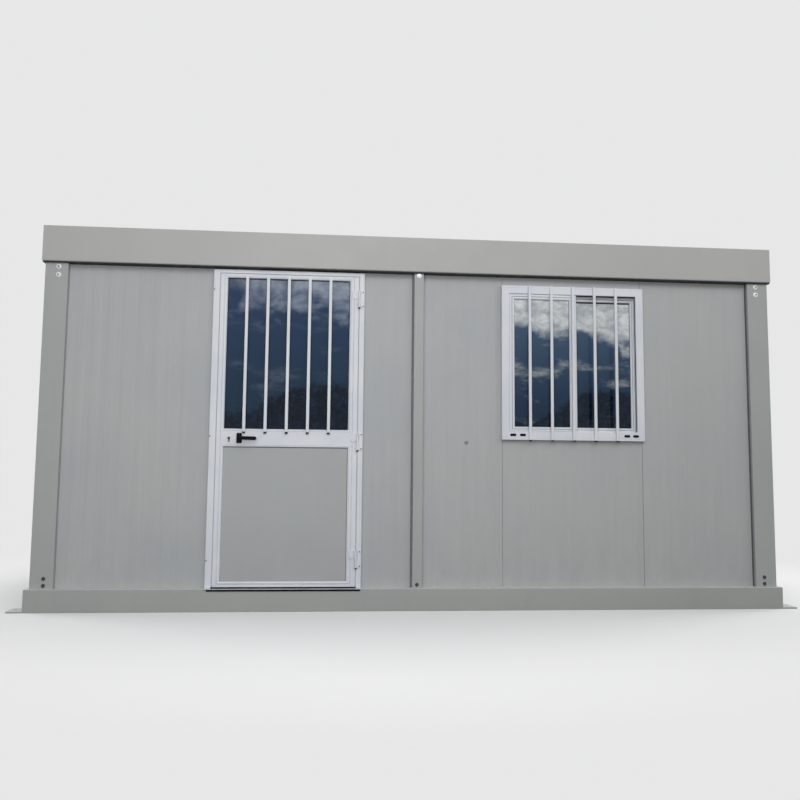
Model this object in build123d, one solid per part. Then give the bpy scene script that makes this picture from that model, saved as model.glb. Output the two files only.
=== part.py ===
from build123d import *
import math
import os

os.makedirs("parts", exist_ok=True)

# Portable site cabin. Lengths in millimetres, X along the front, front face towards -Y, Z up.
# The origin is the centre of the four anchor holes, on the ground.

# Overall sizes
LENGTH = 5000
DEPTH = 2400
HEIGHT = 2500

# Floor frame, its joists and deck
STEEL = 3
FLOOR_RAIL_H = 144
FLOOR_RAIL_W = 110
FLOOR_RAIL_LIP = 30
JOIST_W = 40
JOIST_H = 100
JOIST_GAP = 480
DECK_T = 22

# Anchor lugs at the four lower corners
LUG_REACH = 100
LUG_W = 120
LUG_T = 10
LUG_HOLE_R = 9
LUG_HOLE_OUT = 60

# Corner posts, middle posts and wall panels
POST_SETBACK = 25
POST_W = 147
POST_EDGE_R = 6
PANEL_SETBACK = 35
PANEL_T = 40
MID_POST_X = -6
MID_POST_W = 64

# Roof frame, seal, ceiling and roof sheets
ROOF_RAIL_H = 238
ROOF_RAIL_PROUD = 17
ROOF_FLANGE_W = 120
ROOF_TOP_FLANGE_W = 60
ROOF_TOP_LIP = 25
ROOF_EDGE_CHAMFER = 5
SEAL_T = 8
SEAL_SETBACK = 3
CEILING_T = 40
CEILING_EDGE_GAP = 12
ROOF_FALL = 28
RIDGE_BELOW_TOP = 34
RIB_H = 25
RIB_FOOT_W = 70
RIB_TOP_W = 40
RIB_PITCH = 200
SHEET_T = 1.5
SHEET_EDGE_GAP = 2
RIDGE_GAP = 10
PURLIN_W = 60
RIDGE_CAP_W = 300
RIDGE_CAP_T = 2

# Door frame and leaf
DOOR_FROM_POST = 940.5
DOOR_FRAME_W = 1012
DOOR_FRAME_PROUD = 25
DOOR_LEFT_FACE_W = 43
DOOR_RIGHT_FACE_W = 34.5
DOOR_FRAME_DEPTH = 70
DOOR_FRAME_LAP = 15
DOOR_HEAD_H = 31.5
DOOR_STOP = 20
DOOR_GAP = 5
THRESHOLD_T = 3
THRESHOLD_NOSE = 8
LEAF_FOOT_GAP = 5
LEAF_T = 40
LEAF_WALL = 2
LEFT_STILE_W = 47.5
RIGHT_STILE_W = 60.5
TOP_RAIL_H = 27
MID_RAIL_H = 120
FOOT_RAIL_H = 34.5
LOWER_PANEL_H = 872.5
GLASS_T = 6
DOOR_GLASS_INSET = 17
LOWER_PANEL_T = 20
LOWER_PANEL_INSET = 10

# Security bars, alike on the door and the window
BAR_W = 20
BAR_T = 12
BAR_COUNT = 5
DOOR_BAR_PITCH = 139
DOOR_BAR_OFFSET = -2.5
DOOR_BAR_TOP_LAP = 12
DOOR_BAR_FOOT_LAP = 19.5
WINDOW_BAR_PITCH = 152
WINDOW_BAR_OFFSET = -1.5

# Handle set
HANDLE_FROM_LEAF_EDGE = 149.5
HANDLE_UP_RAIL = 58
PLATE_W = 31
PLATE_H = 68
PLATE_T = 8
PLATE_R = 10
SPINDLE_R = 4
SPINDLE_CLEARANCE = 1.5
HUB_R = 9
HUB_CLEARANCE = 0.5
LEVER_STANDOFF = 30
LEVER_LENGTH = 116
LEVER_H = 22
LEVER_T = 12
CYLINDER_FROM_LEAF_EDGE = 82.5
CYLINDER_CLEARANCE = 0.3
CYLINDER_R = 8.5
CYLINDER_TAIL_W = 10
CYLINDER_H = 33
CYLINDER_PROUD = 6

# Hinges
HINGE_H = 113
HINGE_FROM_FOOT = 123
HINGE_FROM_TOP = 94.5
MIDDLE_HINGE_SHARE = 0.444
HINGE_BARREL_R = 8
HINGE_PIN_R = 4
HINGE_PIN_CLEARANCE = 0.3
HINGE_SPLIT_GAP = 0.6
HINGE_AXIS_PROUD = 10
HINGE_FRAME_PLATE_W = 24
HINGE_LEAF_PLATE_W = 36
HINGE_PLATE_T = 4
HINGE_PLATE_SETBACK = 8
HINGE_WEB_T = 6

# Window
WINDOW_FROM_POST = 761.5
WINDOW_FROM_WALL_TOP = 61
WINDOW_W = 1000
WINDOW_H = 1065
WINDOW_LAP = 10
WINDOW_LEFT_LAP = 8.5
WINDOW_RIGHT_LAP = 11.5
WINDOW_PROUD = 30
WINDOW_DEPTH = 80
WINDOW_SIDE_W = 53
WINDOW_TOP_W = 56
WINDOW_FOOT_W = 60
SASH_T = 28
SASH_INSET = 4
SASH_SPACING = 32
FRONT_STILE_W = 36
REAR_STILE_W = 23
MEETING_STILE_W = 49
MEETING_OFFSET = 25.5
FRONT_TOP_W = 35
REAR_TOP_W = 36
SASH_FOOT_W = 29
PANE_T = 5

# Heights and planes worked out from the sizes above
WALL_FOOT = FLOOR_RAIL_H
ROOF_RAIL_Z = HEIGHT - ROOF_RAIL_H
WALL_TOP = ROOF_RAIL_Z - SEAL_T
POST_X = LENGTH / 2 - POST_SETBACK
POST_Y = DEPTH / 2 - POST_SETBACK
PANEL_X = POST_X - PANEL_SETBACK
PANEL_Y = POST_Y - PANEL_SETBACK
POST_LEG = PANEL_SETBACK + PANEL_T
WALL_END_X = POST_X - POST_W
WALL_END_Y = POST_Y - POST_W
MID_POST_LEFT = MID_POST_X - MID_POST_W / 2
MID_POST_RIGHT = MID_POST_X + MID_POST_W / 2
ROOF_X = POST_X + ROOF_RAIL_PROUD
ROOF_Y = POST_Y + ROOF_RAIL_PROUD

# Planes and edges of the door, its frame, handle and hinges
DOOR_LEFT = -WALL_END_X + DOOR_FROM_POST
DOOR_RIGHT = DOOR_LEFT + DOOR_FRAME_W
DOOR_X = (DOOR_LEFT + DOOR_RIGHT) / 2
DOOR_FACE_Y = -PANEL_Y - DOOR_FRAME_PROUD
DOOR_BACK_Y = DOOR_FACE_Y + DOOR_FRAME_DEPTH
DOOR_SILL_Z = WALL_FOOT + THRESHOLD_T
DOOR_HEAD_Z = WALL_TOP - DOOR_HEAD_H
JAMB_LEFT = DOOR_LEFT + DOOR_LEFT_FACE_W
JAMB_RIGHT = DOOR_RIGHT - DOOR_RIGHT_FACE_W
LEAF_LEFT = JAMB_LEFT + DOOR_GAP
LEAF_RIGHT = JAMB_RIGHT - DOOR_GAP
LEAF_FOOT = DOOR_SILL_Z + LEAF_FOOT_GAP
LEAF_TOP = DOOR_HEAD_Z - DOOR_GAP
LEAF_BACK_Y = DOOR_FACE_Y + LEAF_T
STOP_Y = LEAF_BACK_Y + DOOR_GAP
LOWER_PANEL_Z = LEAF_FOOT + FOOT_RAIL_H
MID_RAIL_Z = LOWER_PANEL_Z + LOWER_PANEL_H
MID_RAIL_TOP = MID_RAIL_Z + MID_RAIL_H
HANDLE_X = LEAF_LEFT + HANDLE_FROM_LEAF_EDGE
HANDLE_Z = MID_RAIL_Z + HANDLE_UP_RAIL
CYLINDER_X = LEAF_LEFT + CYLINDER_FROM_LEAF_EDGE
HINGE_X = LEAF_RIGHT + DOOR_GAP / 2
HINGE_Y = DOOR_FACE_Y - HINGE_AXIS_PROUD

# Planes and edges of the window
WINDOW_RIGHT = WALL_END_X - WINDOW_FROM_POST
WINDOW_LEFT = WINDOW_RIGHT - WINDOW_W
WINDOW_X = (WINDOW_LEFT + WINDOW_RIGHT) / 2
WINDOW_TOP = WALL_TOP - WINDOW_FROM_WALL_TOP
WINDOW_FOOT = WINDOW_TOP - WINDOW_H
WINDOW_FACE_Y = -PANEL_Y - WINDOW_PROUD
BAY_LEFT = WINDOW_LEFT + WINDOW_LEFT_LAP
BAY_RIGHT = WINDOW_RIGHT - WINDOW_RIGHT_LAP
BAY_FOOT = WINDOW_FOOT + WINDOW_LAP
BAY_TOP = WINDOW_TOP - WINDOW_LAP


# Shapes used again and again

def block(x0, x1, y0, y1, z0, z1):
    """Box between two corners."""
    return Pos((x0 + x1) / 2, (y0 + y1) / 2, (z0 + z1) / 2) * Box(x1 - x0, y1 - y0, z1 - z0)


def outline(points):
    """Flat face inside a closed run of points."""
    return make_face(Polyline(*points, close=True))


def prism_z(points, z0, z1):
    """Outline in X and Y, raised from z0 to z1."""
    return Pos(0, 0, z0) * extrude(outline(points), z1 - z0)


def prism_x(points, x0, x1):
    """Outline in Y and Z, run from x0 to x1."""
    return Pos(x0, 0, 0) * extrude(Plane.YZ * outline(points), x1 - x0)


def prism_y(points, y0, y1):
    """Outline in X and Z, run from y0 to y1."""
    return Pos(0, y1, 0) * extrude(Plane.XZ * outline(points), y1 - y0)


def rod_y(x, z, radius, y0, y1):
    """Round bar along Y."""
    return Pos(x, (y0 + y1) / 2, z) * Rot(90, 0, 0) * Cylinder(radius, y1 - y0)


def rod_z(x, y, radius, z0, z1):
    """Round bar along Z."""
    return Pos(x, y, (z0 + z1) / 2) * Cylinder(radius, z1 - z0)


def tube_x(x0, x1, y0, y1, z0, z1, wall):
    """Box section along X, open at its ends."""
    return block(x0, x1, y0, y1, z0, z1) - block(x0, x1, y0 + wall, y1 - wall, z0 + wall, z1 - wall)


def tube_y(x0, x1, y0, y1, z0, z1, wall):
    """Box section along Y, open at its ends."""
    return block(x0, x1, y0, y1, z0, z1) - block(x0 + wall, x1 - wall, y0, y1, z0 + wall, z1 - wall)


def tube_z(x0, x1, y0, y1, z0, z1, wall):
    """Box section along Z, open at its ends."""
    return block(x0, x1, y0, y1, z0, z1) - block(x0 + wall, x1 - wall, y0 + wall, y1 - wall, z0, z1)


def save(name, *solids):
    """Writes one node, of one solid or of several that do not touch."""
    shape = solids[0] if len(solids) == 1 else Compound(children=list(solids))
    export_step(shape, f"parts/{name}.step")


def half_turned(solid):
    """The same solid at the opposite side of the cabin."""
    return Rot(0, 0, 180) * solid


# Folded steel rings of the floor and the roof, mitred at the corners

def mitred_front(profile, half_x, half_y, width, z0):
    """Front member of a ring. The profile is in distance from the outer face and height."""
    points = [(-half_y + u, z0 + v) for u, v in profile]
    bar = prism_x(points, -half_x, half_x)
    mitre = [
        (-half_x, -half_y),
        (half_x, -half_y),
        (half_x - width, -half_y + width),
        (-half_x + width, -half_y + width),
    ]
    return bar & prism_z(mitre, z0, z0 + max(v for u, v in profile))


def mitred_left(profile, half_x, half_y, width, z0):
    """Left member of a ring."""
    points = [(-half_x + u, z0 + v) for u, v in profile]
    bar = prism_y(points, -half_y, half_y)
    mitre = [
        (-half_x, -half_y),
        (-half_x + width, -half_y + width),
        (-half_x + width, half_y - width),
        (-half_x, half_y),
    ]
    return bar & prism_z(mitre, z0, z0 + max(v for u, v in profile))


def floor_profile():
    """C section with lips, open towards the inside."""
    w, h, t, lip = FLOOR_RAIL_W, FLOOR_RAIL_H, STEEL, FLOOR_RAIL_LIP
    return [
        (0, 0), (w, 0), (w, lip), (w - t, lip), (w - t, t), (t, t),
        (t, h - t), (w - t, h - t), (w - t, h - lip), (w, h - lip), (w, h), (0, h),
    ]


def roof_profile():
    """Deep fascia with a chamfered lower edge, a floor flange and a lipped top flange."""
    h, t, chamfer = ROOF_RAIL_H, STEEL, ROOF_EDGE_CHAMFER
    floor_w, top_w, lip = ROOF_FLANGE_W, ROOF_TOP_FLANGE_W, ROOF_TOP_LIP
    return [
        (chamfer, 0), (floor_w, 0), (floor_w, t), (chamfer + t / 2, t), (t, chamfer + t / 2),
        (t, h - t), (top_w - t, h - t), (top_w - t, h - lip), (top_w, h - lip),
        (top_w, h), (0, h), (0, chamfer),
    ]


def floor_frame():
    """Two long and two short rails, with lugs, joists and deck."""
    profile = floor_profile()
    front = mitred_front(profile, LENGTH / 2, DEPTH / 2, FLOOR_RAIL_W, 0)
    left = mitred_left(profile, LENGTH / 2, DEPTH / 2, FLOOR_RAIL_W, 0)
    save("floor_side_rails", front, half_turned(front))
    save("floor_end_rails", left, half_turned(left))

    lugs = []
    for side in (-1, 1):
        for end in (-1, 1):
            x0 = side * LENGTH / 2
            x1 = side * (LENGTH / 2 + LUG_REACH)
            y0 = end * DEPTH / 2
            y1 = end * (DEPTH / 2 - LUG_W)
            plate = block(min(x0, x1), max(x0, x1), min(y0, y1), max(y0, y1), 0, LUG_T)
            hole_x = side * (LENGTH / 2 + LUG_HOLE_OUT)
            hole_y = end * (DEPTH / 2 - LUG_W / 2)
            lugs.append(plate - rod_z(hole_x, hole_y, LUG_HOLE_R, -LUG_T, 2 * LUG_T))
    save("anchor_lugs", *lugs)

    inner_x = LENGTH / 2 - FLOOR_RAIL_W
    inner_y = DEPTH / 2 - FLOOR_RAIL_W
    deck_z = FLOOR_RAIL_H - DECK_T
    save("floor_deck", block(-inner_x, inner_x, -inner_y, inner_y, deck_z, FLOOR_RAIL_H))

    count = 2 * int((inner_x - JOIST_W) // JOIST_GAP) + 1
    joists = []
    for i in range(count):
        x = (i - (count - 1) / 2) * JOIST_GAP
        joists.append(
            tube_y(x - JOIST_W / 2, x + JOIST_W / 2, -inner_y, inner_y, deck_z - JOIST_H, deck_z, STEEL)
        )
    save("floor_joists", *joists)


# Posts

def corner_post(side, end):
    """Hollow L section with a rounded outer edge, at the corner given by two signs."""
    leg, wall = POST_LEG, STEEL
    outer = [(0, 0), (POST_W, 0), (POST_W, leg), (leg, leg), (leg, POST_W), (0, POST_W)]
    inner = [
        (wall, wall), (POST_W - wall, wall), (POST_W - wall, leg - wall),
        (leg - wall, leg - wall), (leg - wall, POST_W - wall), (wall, POST_W - wall),
    ]

    def placed(points):
        return [(side * (POST_X - u), end * (POST_Y - v)) for u, v in points]

    post = prism_z(placed(outer), WALL_FOOT, WALL_TOP)
    corner = (side * POST_X, end * POST_Y, (WALL_FOOT + WALL_TOP) / 2)
    edge = post.edges().filter_by(Axis.Z).sort_by_distance(corner)[0]
    post = fillet(edge, POST_EDGE_R)
    return post - prism_z(placed(inner), WALL_FOOT, WALL_TOP)


def posts():
    save("corner_posts", *[corner_post(side, end) for side in (-1, 1) for end in (-1, 1)])
    x0, x1 = MID_POST_LEFT, MID_POST_RIGHT
    front = tube_z(x0, x1, -POST_Y, -POST_Y + POST_LEG, WALL_FOOT, WALL_TOP, STEEL)
    back = tube_z(x0, x1, POST_Y - POST_LEG, POST_Y, WALL_FOOT, WALL_TOP, STEEL)
    save("middle_posts", front, back)


# Walls of sandwich panels

def front_panel(x0, x1, z0, z1):
    return block(x0, x1, -PANEL_Y, -PANEL_Y + PANEL_T, z0, z1)


def walls():
    opening_left = DOOR_LEFT + DOOR_FRAME_LAP
    opening_right = DOOR_RIGHT - DOOR_FRAME_LAP
    save("front_panel_left", front_panel(-WALL_END_X, opening_left, WALL_FOOT, WALL_TOP))
    save("front_panel_beside_door", front_panel(opening_right, MID_POST_LEFT, WALL_FOOT, WALL_TOP))
    save("front_panel_centre", front_panel(MID_POST_RIGHT, BAY_LEFT, WALL_FOOT, WALL_TOP))
    save("front_panel_under_window", front_panel(BAY_LEFT, BAY_RIGHT, WALL_FOOT, BAY_FOOT))
    save("front_panel_over_window", front_panel(BAY_LEFT, BAY_RIGHT, BAY_TOP, WALL_TOP))
    save("front_panel_right", front_panel(BAY_RIGHT, WALL_END_X, WALL_FOOT, WALL_TOP))

    for name, x0 in (("left", -PANEL_X), ("right", PANEL_X - PANEL_T)):
        save(f"{name}_panel_front", block(x0, x0 + PANEL_T, -WALL_END_Y, 0, WALL_FOOT, WALL_TOP))
        save(f"{name}_panel_back", block(x0, x0 + PANEL_T, 0, WALL_END_Y, WALL_FOOT, WALL_TOP))

    left_joint = (MID_POST_LEFT - WALL_END_X) / 2
    right_joint = (MID_POST_RIGHT + WALL_END_X) / 2
    spans = (
        (-WALL_END_X, left_joint), (left_joint, MID_POST_LEFT),
        (MID_POST_RIGHT, right_joint), (right_joint, WALL_END_X),
    )
    for number, (x0, x1) in enumerate(spans, start=1):
        panel = block(x0, x1, PANEL_Y - PANEL_T, PANEL_Y, WALL_FOOT, WALL_TOP)
        save(f"back_panel_{number}", panel)


# Roof

def roof_frame():
    profile = roof_profile()
    front = mitred_front(profile, ROOF_X, ROOF_Y, ROOF_FLANGE_W, ROOF_RAIL_Z)
    left = mitred_left(profile, ROOF_X, ROOF_Y, ROOF_FLANGE_W, ROOF_RAIL_Z)
    save("roof_side_rails", front, half_turned(front))
    save("roof_end_rails", left, half_turned(left))

    outer_x = ROOF_X - SEAL_SETBACK
    outer_y = ROOF_Y - SEAL_SETBACK
    inner_x = POST_X - POST_LEG
    inner_y = POST_Y - POST_LEG
    seal = block(-outer_x, outer_x, -outer_y, outer_y, WALL_TOP, ROOF_RAIL_Z)
    save("roof_seal", seal - block(-inner_x, inner_x, -inner_y, inner_y, WALL_TOP, ROOF_RAIL_Z))

    edge = ROOF_EDGE_CHAMFER + CEILING_EDGE_GAP
    ceiling_z = ROOF_RAIL_Z + STEEL
    x1, y1 = ROOF_X - edge, ROOF_Y - edge
    save("ceiling_panel", block(-x1, x1, -y1, y1, ceiling_z, ceiling_z + CEILING_T))


def sheet_underside(y):
    """Height of the roof sheet's underside at a distance from the ridge."""
    eave = ROOF_Y - ROOF_TOP_FLANGE_W
    return HEIGHT - RIDGE_BELOW_TOP - ROOF_FALL * abs(y) / eave


def roof_cover():
    """Purlins of falling height, two ribbed sheets and the ridge cap."""
    half_x = ROOF_X - ROOF_TOP_FLANGE_W - SHEET_EDGE_GAP
    eave = ROOF_Y - ROOF_TOP_FLANGE_W + SHEET_EDGE_GAP
    fall = math.degrees(math.atan2(ROOF_FALL, ROOF_Y - ROOF_TOP_FLANGE_W))
    foot = ROOF_RAIL_Z + STEEL + CEILING_T

    purlins = []
    for place in (-1, -0.5, 0, 0.5, 1):
        y = place * (eave - PURLIN_W / 2)
        y0, y1 = y - PURLIN_W / 2, y + PURLIN_W / 2
        top = [(y1, sheet_underside(y1)), (y0, sheet_underside(y0))]
        if place == 0:
            top.insert(1, (0, sheet_underside(0)))
        purlins.append(prism_x([(y0, foot), (y1, foot)] + top, -half_x, half_x))
    save("roof_purlins", *purlins)

    ribs = int(2 * half_x // RIB_PITCH)
    first = -(ribs - 1) / 2 * RIB_PITCH
    upper = [(-half_x, 0)]
    for i in range(ribs):
        x = first + i * RIB_PITCH
        upper += [(x - RIB_FOOT_W / 2, 0), (x - RIB_TOP_W / 2, RIB_H)]
        upper += [(x + RIB_TOP_W / 2, RIB_H), (x + RIB_FOOT_W / 2, 0)]
    upper.append((half_x, 0))
    section = [(x, z + SHEET_T) for x, z in upper] + list(reversed(upper))
    sheet = prism_y(section, -eave, -RIDGE_GAP / 2)
    front = Pos(0, 0, sheet_underside(0)) * Rot(fall, 0, 0) * sheet
    save("roof_sheets", front, half_turned(front))

    half_cap = RIDGE_CAP_W / 2
    cap_z = sheet_underside(0) + (RIB_H + SHEET_T) / math.cos(math.radians(fall))
    drop = sheet_underside(0) - sheet_underside(half_cap)
    cap = [
        (-half_cap, cap_z - drop), (0, cap_z), (half_cap, cap_z - drop),
        (half_cap, cap_z - drop + RIDGE_CAP_T), (0, cap_z + RIDGE_CAP_T), (-half_cap, cap_z - drop + RIDGE_CAP_T),
    ]
    save("ridge_cap", prism_x(cap, -half_x, half_x))


# Door

def door_jamb(edge, inward, face_w):
    """Jamb from its outer edge inwards (+1 or -1): a flange over the panel and a stop behind the leaf."""
    flange_x = edge + inward * face_w
    body_x = edge + inward * DOOR_FRAME_LAP
    stop_x = flange_x + inward * DOOR_STOP
    profile = [
        (edge, DOOR_FACE_Y), (flange_x, DOOR_FACE_Y), (flange_x, STOP_Y), (stop_x, STOP_Y),
        (stop_x, DOOR_BACK_Y), (body_x, DOOR_BACK_Y), (body_x, -PANEL_Y), (edge, -PANEL_Y),
    ]
    return prism_z(profile, DOOR_SILL_Z, WALL_TOP)


def door_frame():
    left = door_jamb(DOOR_LEFT, 1, DOOR_LEFT_FACE_W)
    right = door_jamb(DOOR_RIGHT, -1, DOOR_RIGHT_FACE_W)
    save("door_jambs", left, right)

    head = block(JAMB_LEFT, JAMB_RIGHT, DOOR_FACE_Y, DOOR_BACK_Y, DOOR_HEAD_Z, WALL_TOP)
    stop_left, stop_right = JAMB_LEFT + DOOR_STOP, JAMB_RIGHT - DOOR_STOP
    head += block(stop_left, stop_right, STOP_Y, DOOR_BACK_Y, DOOR_HEAD_Z - DOOR_STOP, WALL_TOP)
    save("door_head", head - left - right)

    nose_y = -DEPTH / 2 - THRESHOLD_NOSE
    wide = block(DOOR_LEFT, DOOR_RIGHT, nose_y, -PANEL_Y, WALL_FOOT, DOOR_SILL_Z)
    inner_left, inner_right = DOOR_LEFT + DOOR_FRAME_LAP, DOOR_RIGHT - DOOR_FRAME_LAP
    narrow = block(inner_left, inner_right, -PANEL_Y, DOOR_BACK_Y, WALL_FOOT, DOOR_SILL_Z)
    save("door_threshold", wide + narrow)


def cylinder_section(x, z, y0, y1, grow=0.0):
    """Lock cylinder, round above and narrow below, along Y."""
    body = rod_y(x, z, CYLINDER_R + grow, y0, y1)
    half = CYLINDER_TAIL_W / 2 + grow
    foot = z + CYLINDER_R - CYLINDER_H - grow
    return body + block(x - half, x + half, y0, y1, foot, z)


def door_leaf():
    """Stiles, rails, glass, lower panel and bars."""
    x0, x1 = LEAF_LEFT + LEFT_STILE_W, LEAF_RIGHT - RIGHT_STILE_W
    face, back = DOOR_FACE_Y, LEAF_BACK_Y
    left = tube_z(LEAF_LEFT, x0, face, back, LEAF_FOOT, LEAF_TOP, LEAF_WALL)
    right = tube_z(x1, LEAF_RIGHT, face, back, LEAF_FOOT, LEAF_TOP, LEAF_WALL)
    save("door_stiles", left, right)

    top_z = LEAF_TOP - TOP_RAIL_H
    top = tube_x(x0, x1, face, back, top_z, LEAF_TOP, LEAF_WALL)
    foot = tube_x(x0, x1, face, back, LEAF_FOOT, LOWER_PANEL_Z, LEAF_WALL)
    middle = tube_x(x0, x1, face, back, MID_RAIL_Z, MID_RAIL_TOP, LEAF_WALL)
    middle -= rod_y(HANDLE_X, HANDLE_Z, SPINDLE_R + SPINDLE_CLEARANCE, face - 1, back + 1)
    middle -= cylinder_section(CYLINDER_X, HANDLE_Z, face - 1, back + 1, CYLINDER_CLEARANCE)
    save("door_rails", top, middle, foot)

    glass_y = face + DOOR_GLASS_INSET
    save("door_glass", block(x0, x1, glass_y, glass_y + GLASS_T, MID_RAIL_TOP, top_z))
    panel_y = face + LOWER_PANEL_INSET
    panel = block(x0, x1, panel_y, panel_y + LOWER_PANEL_T, LOWER_PANEL_Z, MID_RAIL_Z)
    save("door_lower_panel", panel)

    bars = []
    for i in range(BAR_COUNT):
        x = DOOR_X + DOOR_BAR_OFFSET + (i - (BAR_COUNT - 1) / 2) * DOOR_BAR_PITCH
        z0, z1 = MID_RAIL_TOP - DOOR_BAR_FOOT_LAP, top_z + DOOR_BAR_TOP_LAP
        bars.append(block(x - BAR_W / 2, x + BAR_W / 2, face - BAR_T, face, z0, z1))
    save("door_bars", *bars)


def handle_plate(y0, y1):
    """Upright plate with rounded corners and a hole for the spindle."""
    plate = block(
        HANDLE_X - PLATE_W / 2, HANDLE_X + PLATE_W / 2, y0, y1,
        HANDLE_Z - PLATE_H / 2, HANDLE_Z + PLATE_H / 2,
    )
    plate = fillet(plate.edges().filter_by(Axis.Y), PLATE_R)
    return plate - rod_y(HANDLE_X, HANDLE_Z, SPINDLE_R + SPINDLE_CLEARANCE, y0 - 1, y1 + 1)


def lever_arm(y0, y1):
    """Level grip with rounded ends, from the hub towards the hinges."""
    x0 = HANDLE_X - HUB_R
    x1 = HANDLE_X + LEVER_LENGTH
    arm = block(x0, x1, y0, y1, HANDLE_Z - LEVER_H / 2, HANDLE_Z + LEVER_H / 2)
    return fillet(arm.edges().filter_by(Axis.Y), LEVER_H / 2 - 1)


def handle_set():
    face, back = DOOR_FACE_Y, LEAF_BACK_Y
    save("handle_plates", handle_plate(face - PLATE_T, face), handle_plate(back, back + PLATE_T))

    outer_hub = face - PLATE_T - HUB_CLEARANCE
    inner_hub = back + PLATE_T + HUB_CLEARANCE
    outer_arm = outer_hub - LEVER_STANDOFF
    inner_arm = inner_hub + LEVER_STANDOFF
    lever = rod_y(HANDLE_X, HANDLE_Z, SPINDLE_R, outer_arm, inner_arm)
    lever += rod_y(HANDLE_X, HANDLE_Z, HUB_R, outer_arm, outer_hub)
    lever += rod_y(HANDLE_X, HANDLE_Z, HUB_R, inner_hub, inner_arm)
    lever += lever_arm(outer_arm - LEVER_T, outer_arm)
    lever += lever_arm(inner_arm, inner_arm + LEVER_T)
    save("lever_handle", lever)

    save("lock_cylinder", cylinder_section(CYLINDER_X, HANDLE_Z, face - CYLINDER_PROUD, back + CYLINDER_PROUD))


def hinge_half(side, edge, z0, z1, plate_z0, plate_z1, plate_w):
    """Barrel, plate on the face and the web between them, to the left (-1) or right (+1)."""
    x0 = edge + side * HINGE_PLATE_SETBACK
    x1 = x0 + side * plate_w
    plate = block(min(x0, x1), max(x0, x1), DOOR_FACE_Y - HINGE_PLATE_T, DOOR_FACE_Y, plate_z0, plate_z1)
    web_y1 = DOOR_FACE_Y - HINGE_AXIS_PROUD + HINGE_BARREL_R
    web_x = x0 + side * HINGE_WEB_T
    web = block(min(HINGE_X, web_x), max(HINGE_X, web_x), web_y1 - HINGE_WEB_T, web_y1, z0, z1)
    return plate + web + rod_z(HINGE_X, HINGE_Y, HINGE_BARREL_R, z0, z1)


def hinges():
    """Three two-part barrel hinges, the frame's half below with the pin."""
    frame_halves, leaf_halves = [], []
    lowest = LEAF_FOOT + HINGE_FROM_FOOT
    highest = LEAF_TOP - HINGE_FROM_TOP - HINGE_H
    middle = lowest + MIDDLE_HINGE_SHARE * (highest - lowest)
    for z0 in (lowest, middle, highest):
        z1 = z0 + HINGE_H
        split = z0 + HINGE_H / 2
        pin = rod_z(HINGE_X, HINGE_Y, HINGE_PIN_R, z0, z1)
        lower = hinge_half(1, JAMB_RIGHT, z0, split, z0, z1, HINGE_FRAME_PLATE_W)
        frame_halves.append(lower + pin)
        upper_z = split + HINGE_SPLIT_GAP
        upper = hinge_half(-1, LEAF_RIGHT, upper_z, z1, upper_z, z1, HINGE_LEAF_PLATE_W)
        bore = rod_z(HINGE_X, HINGE_Y, HINGE_PIN_R + HINGE_PIN_CLEARANCE, z0, z1 + 1)
        leaf_halves.append(upper - bore)
    save("hinge_frame_halves", *frame_halves)
    save("hinge_leaf_halves", *leaf_halves)


# Window

def window():
    face, back = WINDOW_FACE_Y, WINDOW_FACE_Y + WINDOW_DEPTH
    in_left, in_right = WINDOW_LEFT + WINDOW_SIDE_W, WINDOW_RIGHT - WINDOW_SIDE_W
    in_foot, in_top = WINDOW_FOOT + WINDOW_FOOT_W, WINDOW_TOP - WINDOW_TOP_W

    frame = block(WINDOW_LEFT, WINDOW_RIGHT, face, -PANEL_Y, WINDOW_FOOT, WINDOW_TOP)
    frame += block(BAY_LEFT, BAY_RIGHT, -PANEL_Y, back, BAY_FOOT, BAY_TOP)
    save("window_frame", frame - block(in_left, in_right, face, back, in_foot, in_top))

    front_y = face + SASH_INSET
    rear_y = front_y + SASH_SPACING
    pane_inset = (SASH_T - PANE_T) / 2
    glass_foot = in_foot + SASH_FOOT_W
    meeting_x = WINDOW_X + MEETING_OFFSET
    rear_left = meeting_x - MEETING_STILE_W + SASH_INSET
    sashes, panes = [], []
    spans = (
        (in_left, meeting_x, FRONT_STILE_W, MEETING_STILE_W, FRONT_TOP_W, front_y),
        (rear_left, in_right, REAR_STILE_W, REAR_STILE_W, REAR_TOP_W, rear_y),
    )
    for x0, x1, left_w, right_w, top_w, y in spans:
        glass_top = in_top - top_w
        hole = block(x0 + left_w, x1 - right_w, y, y + SASH_T, glass_foot, glass_top)
        sashes.append(block(x0, x1, y, y + SASH_T, in_foot, in_top) - hole)
        pane_y = y + pane_inset
        panes.append(block(x0 + left_w, x1 - right_w, pane_y, pane_y + PANE_T, glass_foot, glass_top))
    save("window_sashes", *sashes)
    save("window_panes", *panes)

    bars = []
    for i in range(BAR_COUNT):
        x = WINDOW_X + WINDOW_BAR_OFFSET + (i - (BAR_COUNT - 1) / 2) * WINDOW_BAR_PITCH
        bars.append(block(x - BAR_W / 2, x + BAR_W / 2, face - BAR_T, face, WINDOW_FOOT, WINDOW_TOP))
    save("window_bars", *bars)


floor_frame()
posts()
walls()
roof_frame()
roof_cover()
door_frame()
door_leaf()
handle_set()
hinges()
window()
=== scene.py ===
import math
import random

import bmesh
import bpy
from mathutils import Matrix, Vector


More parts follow.
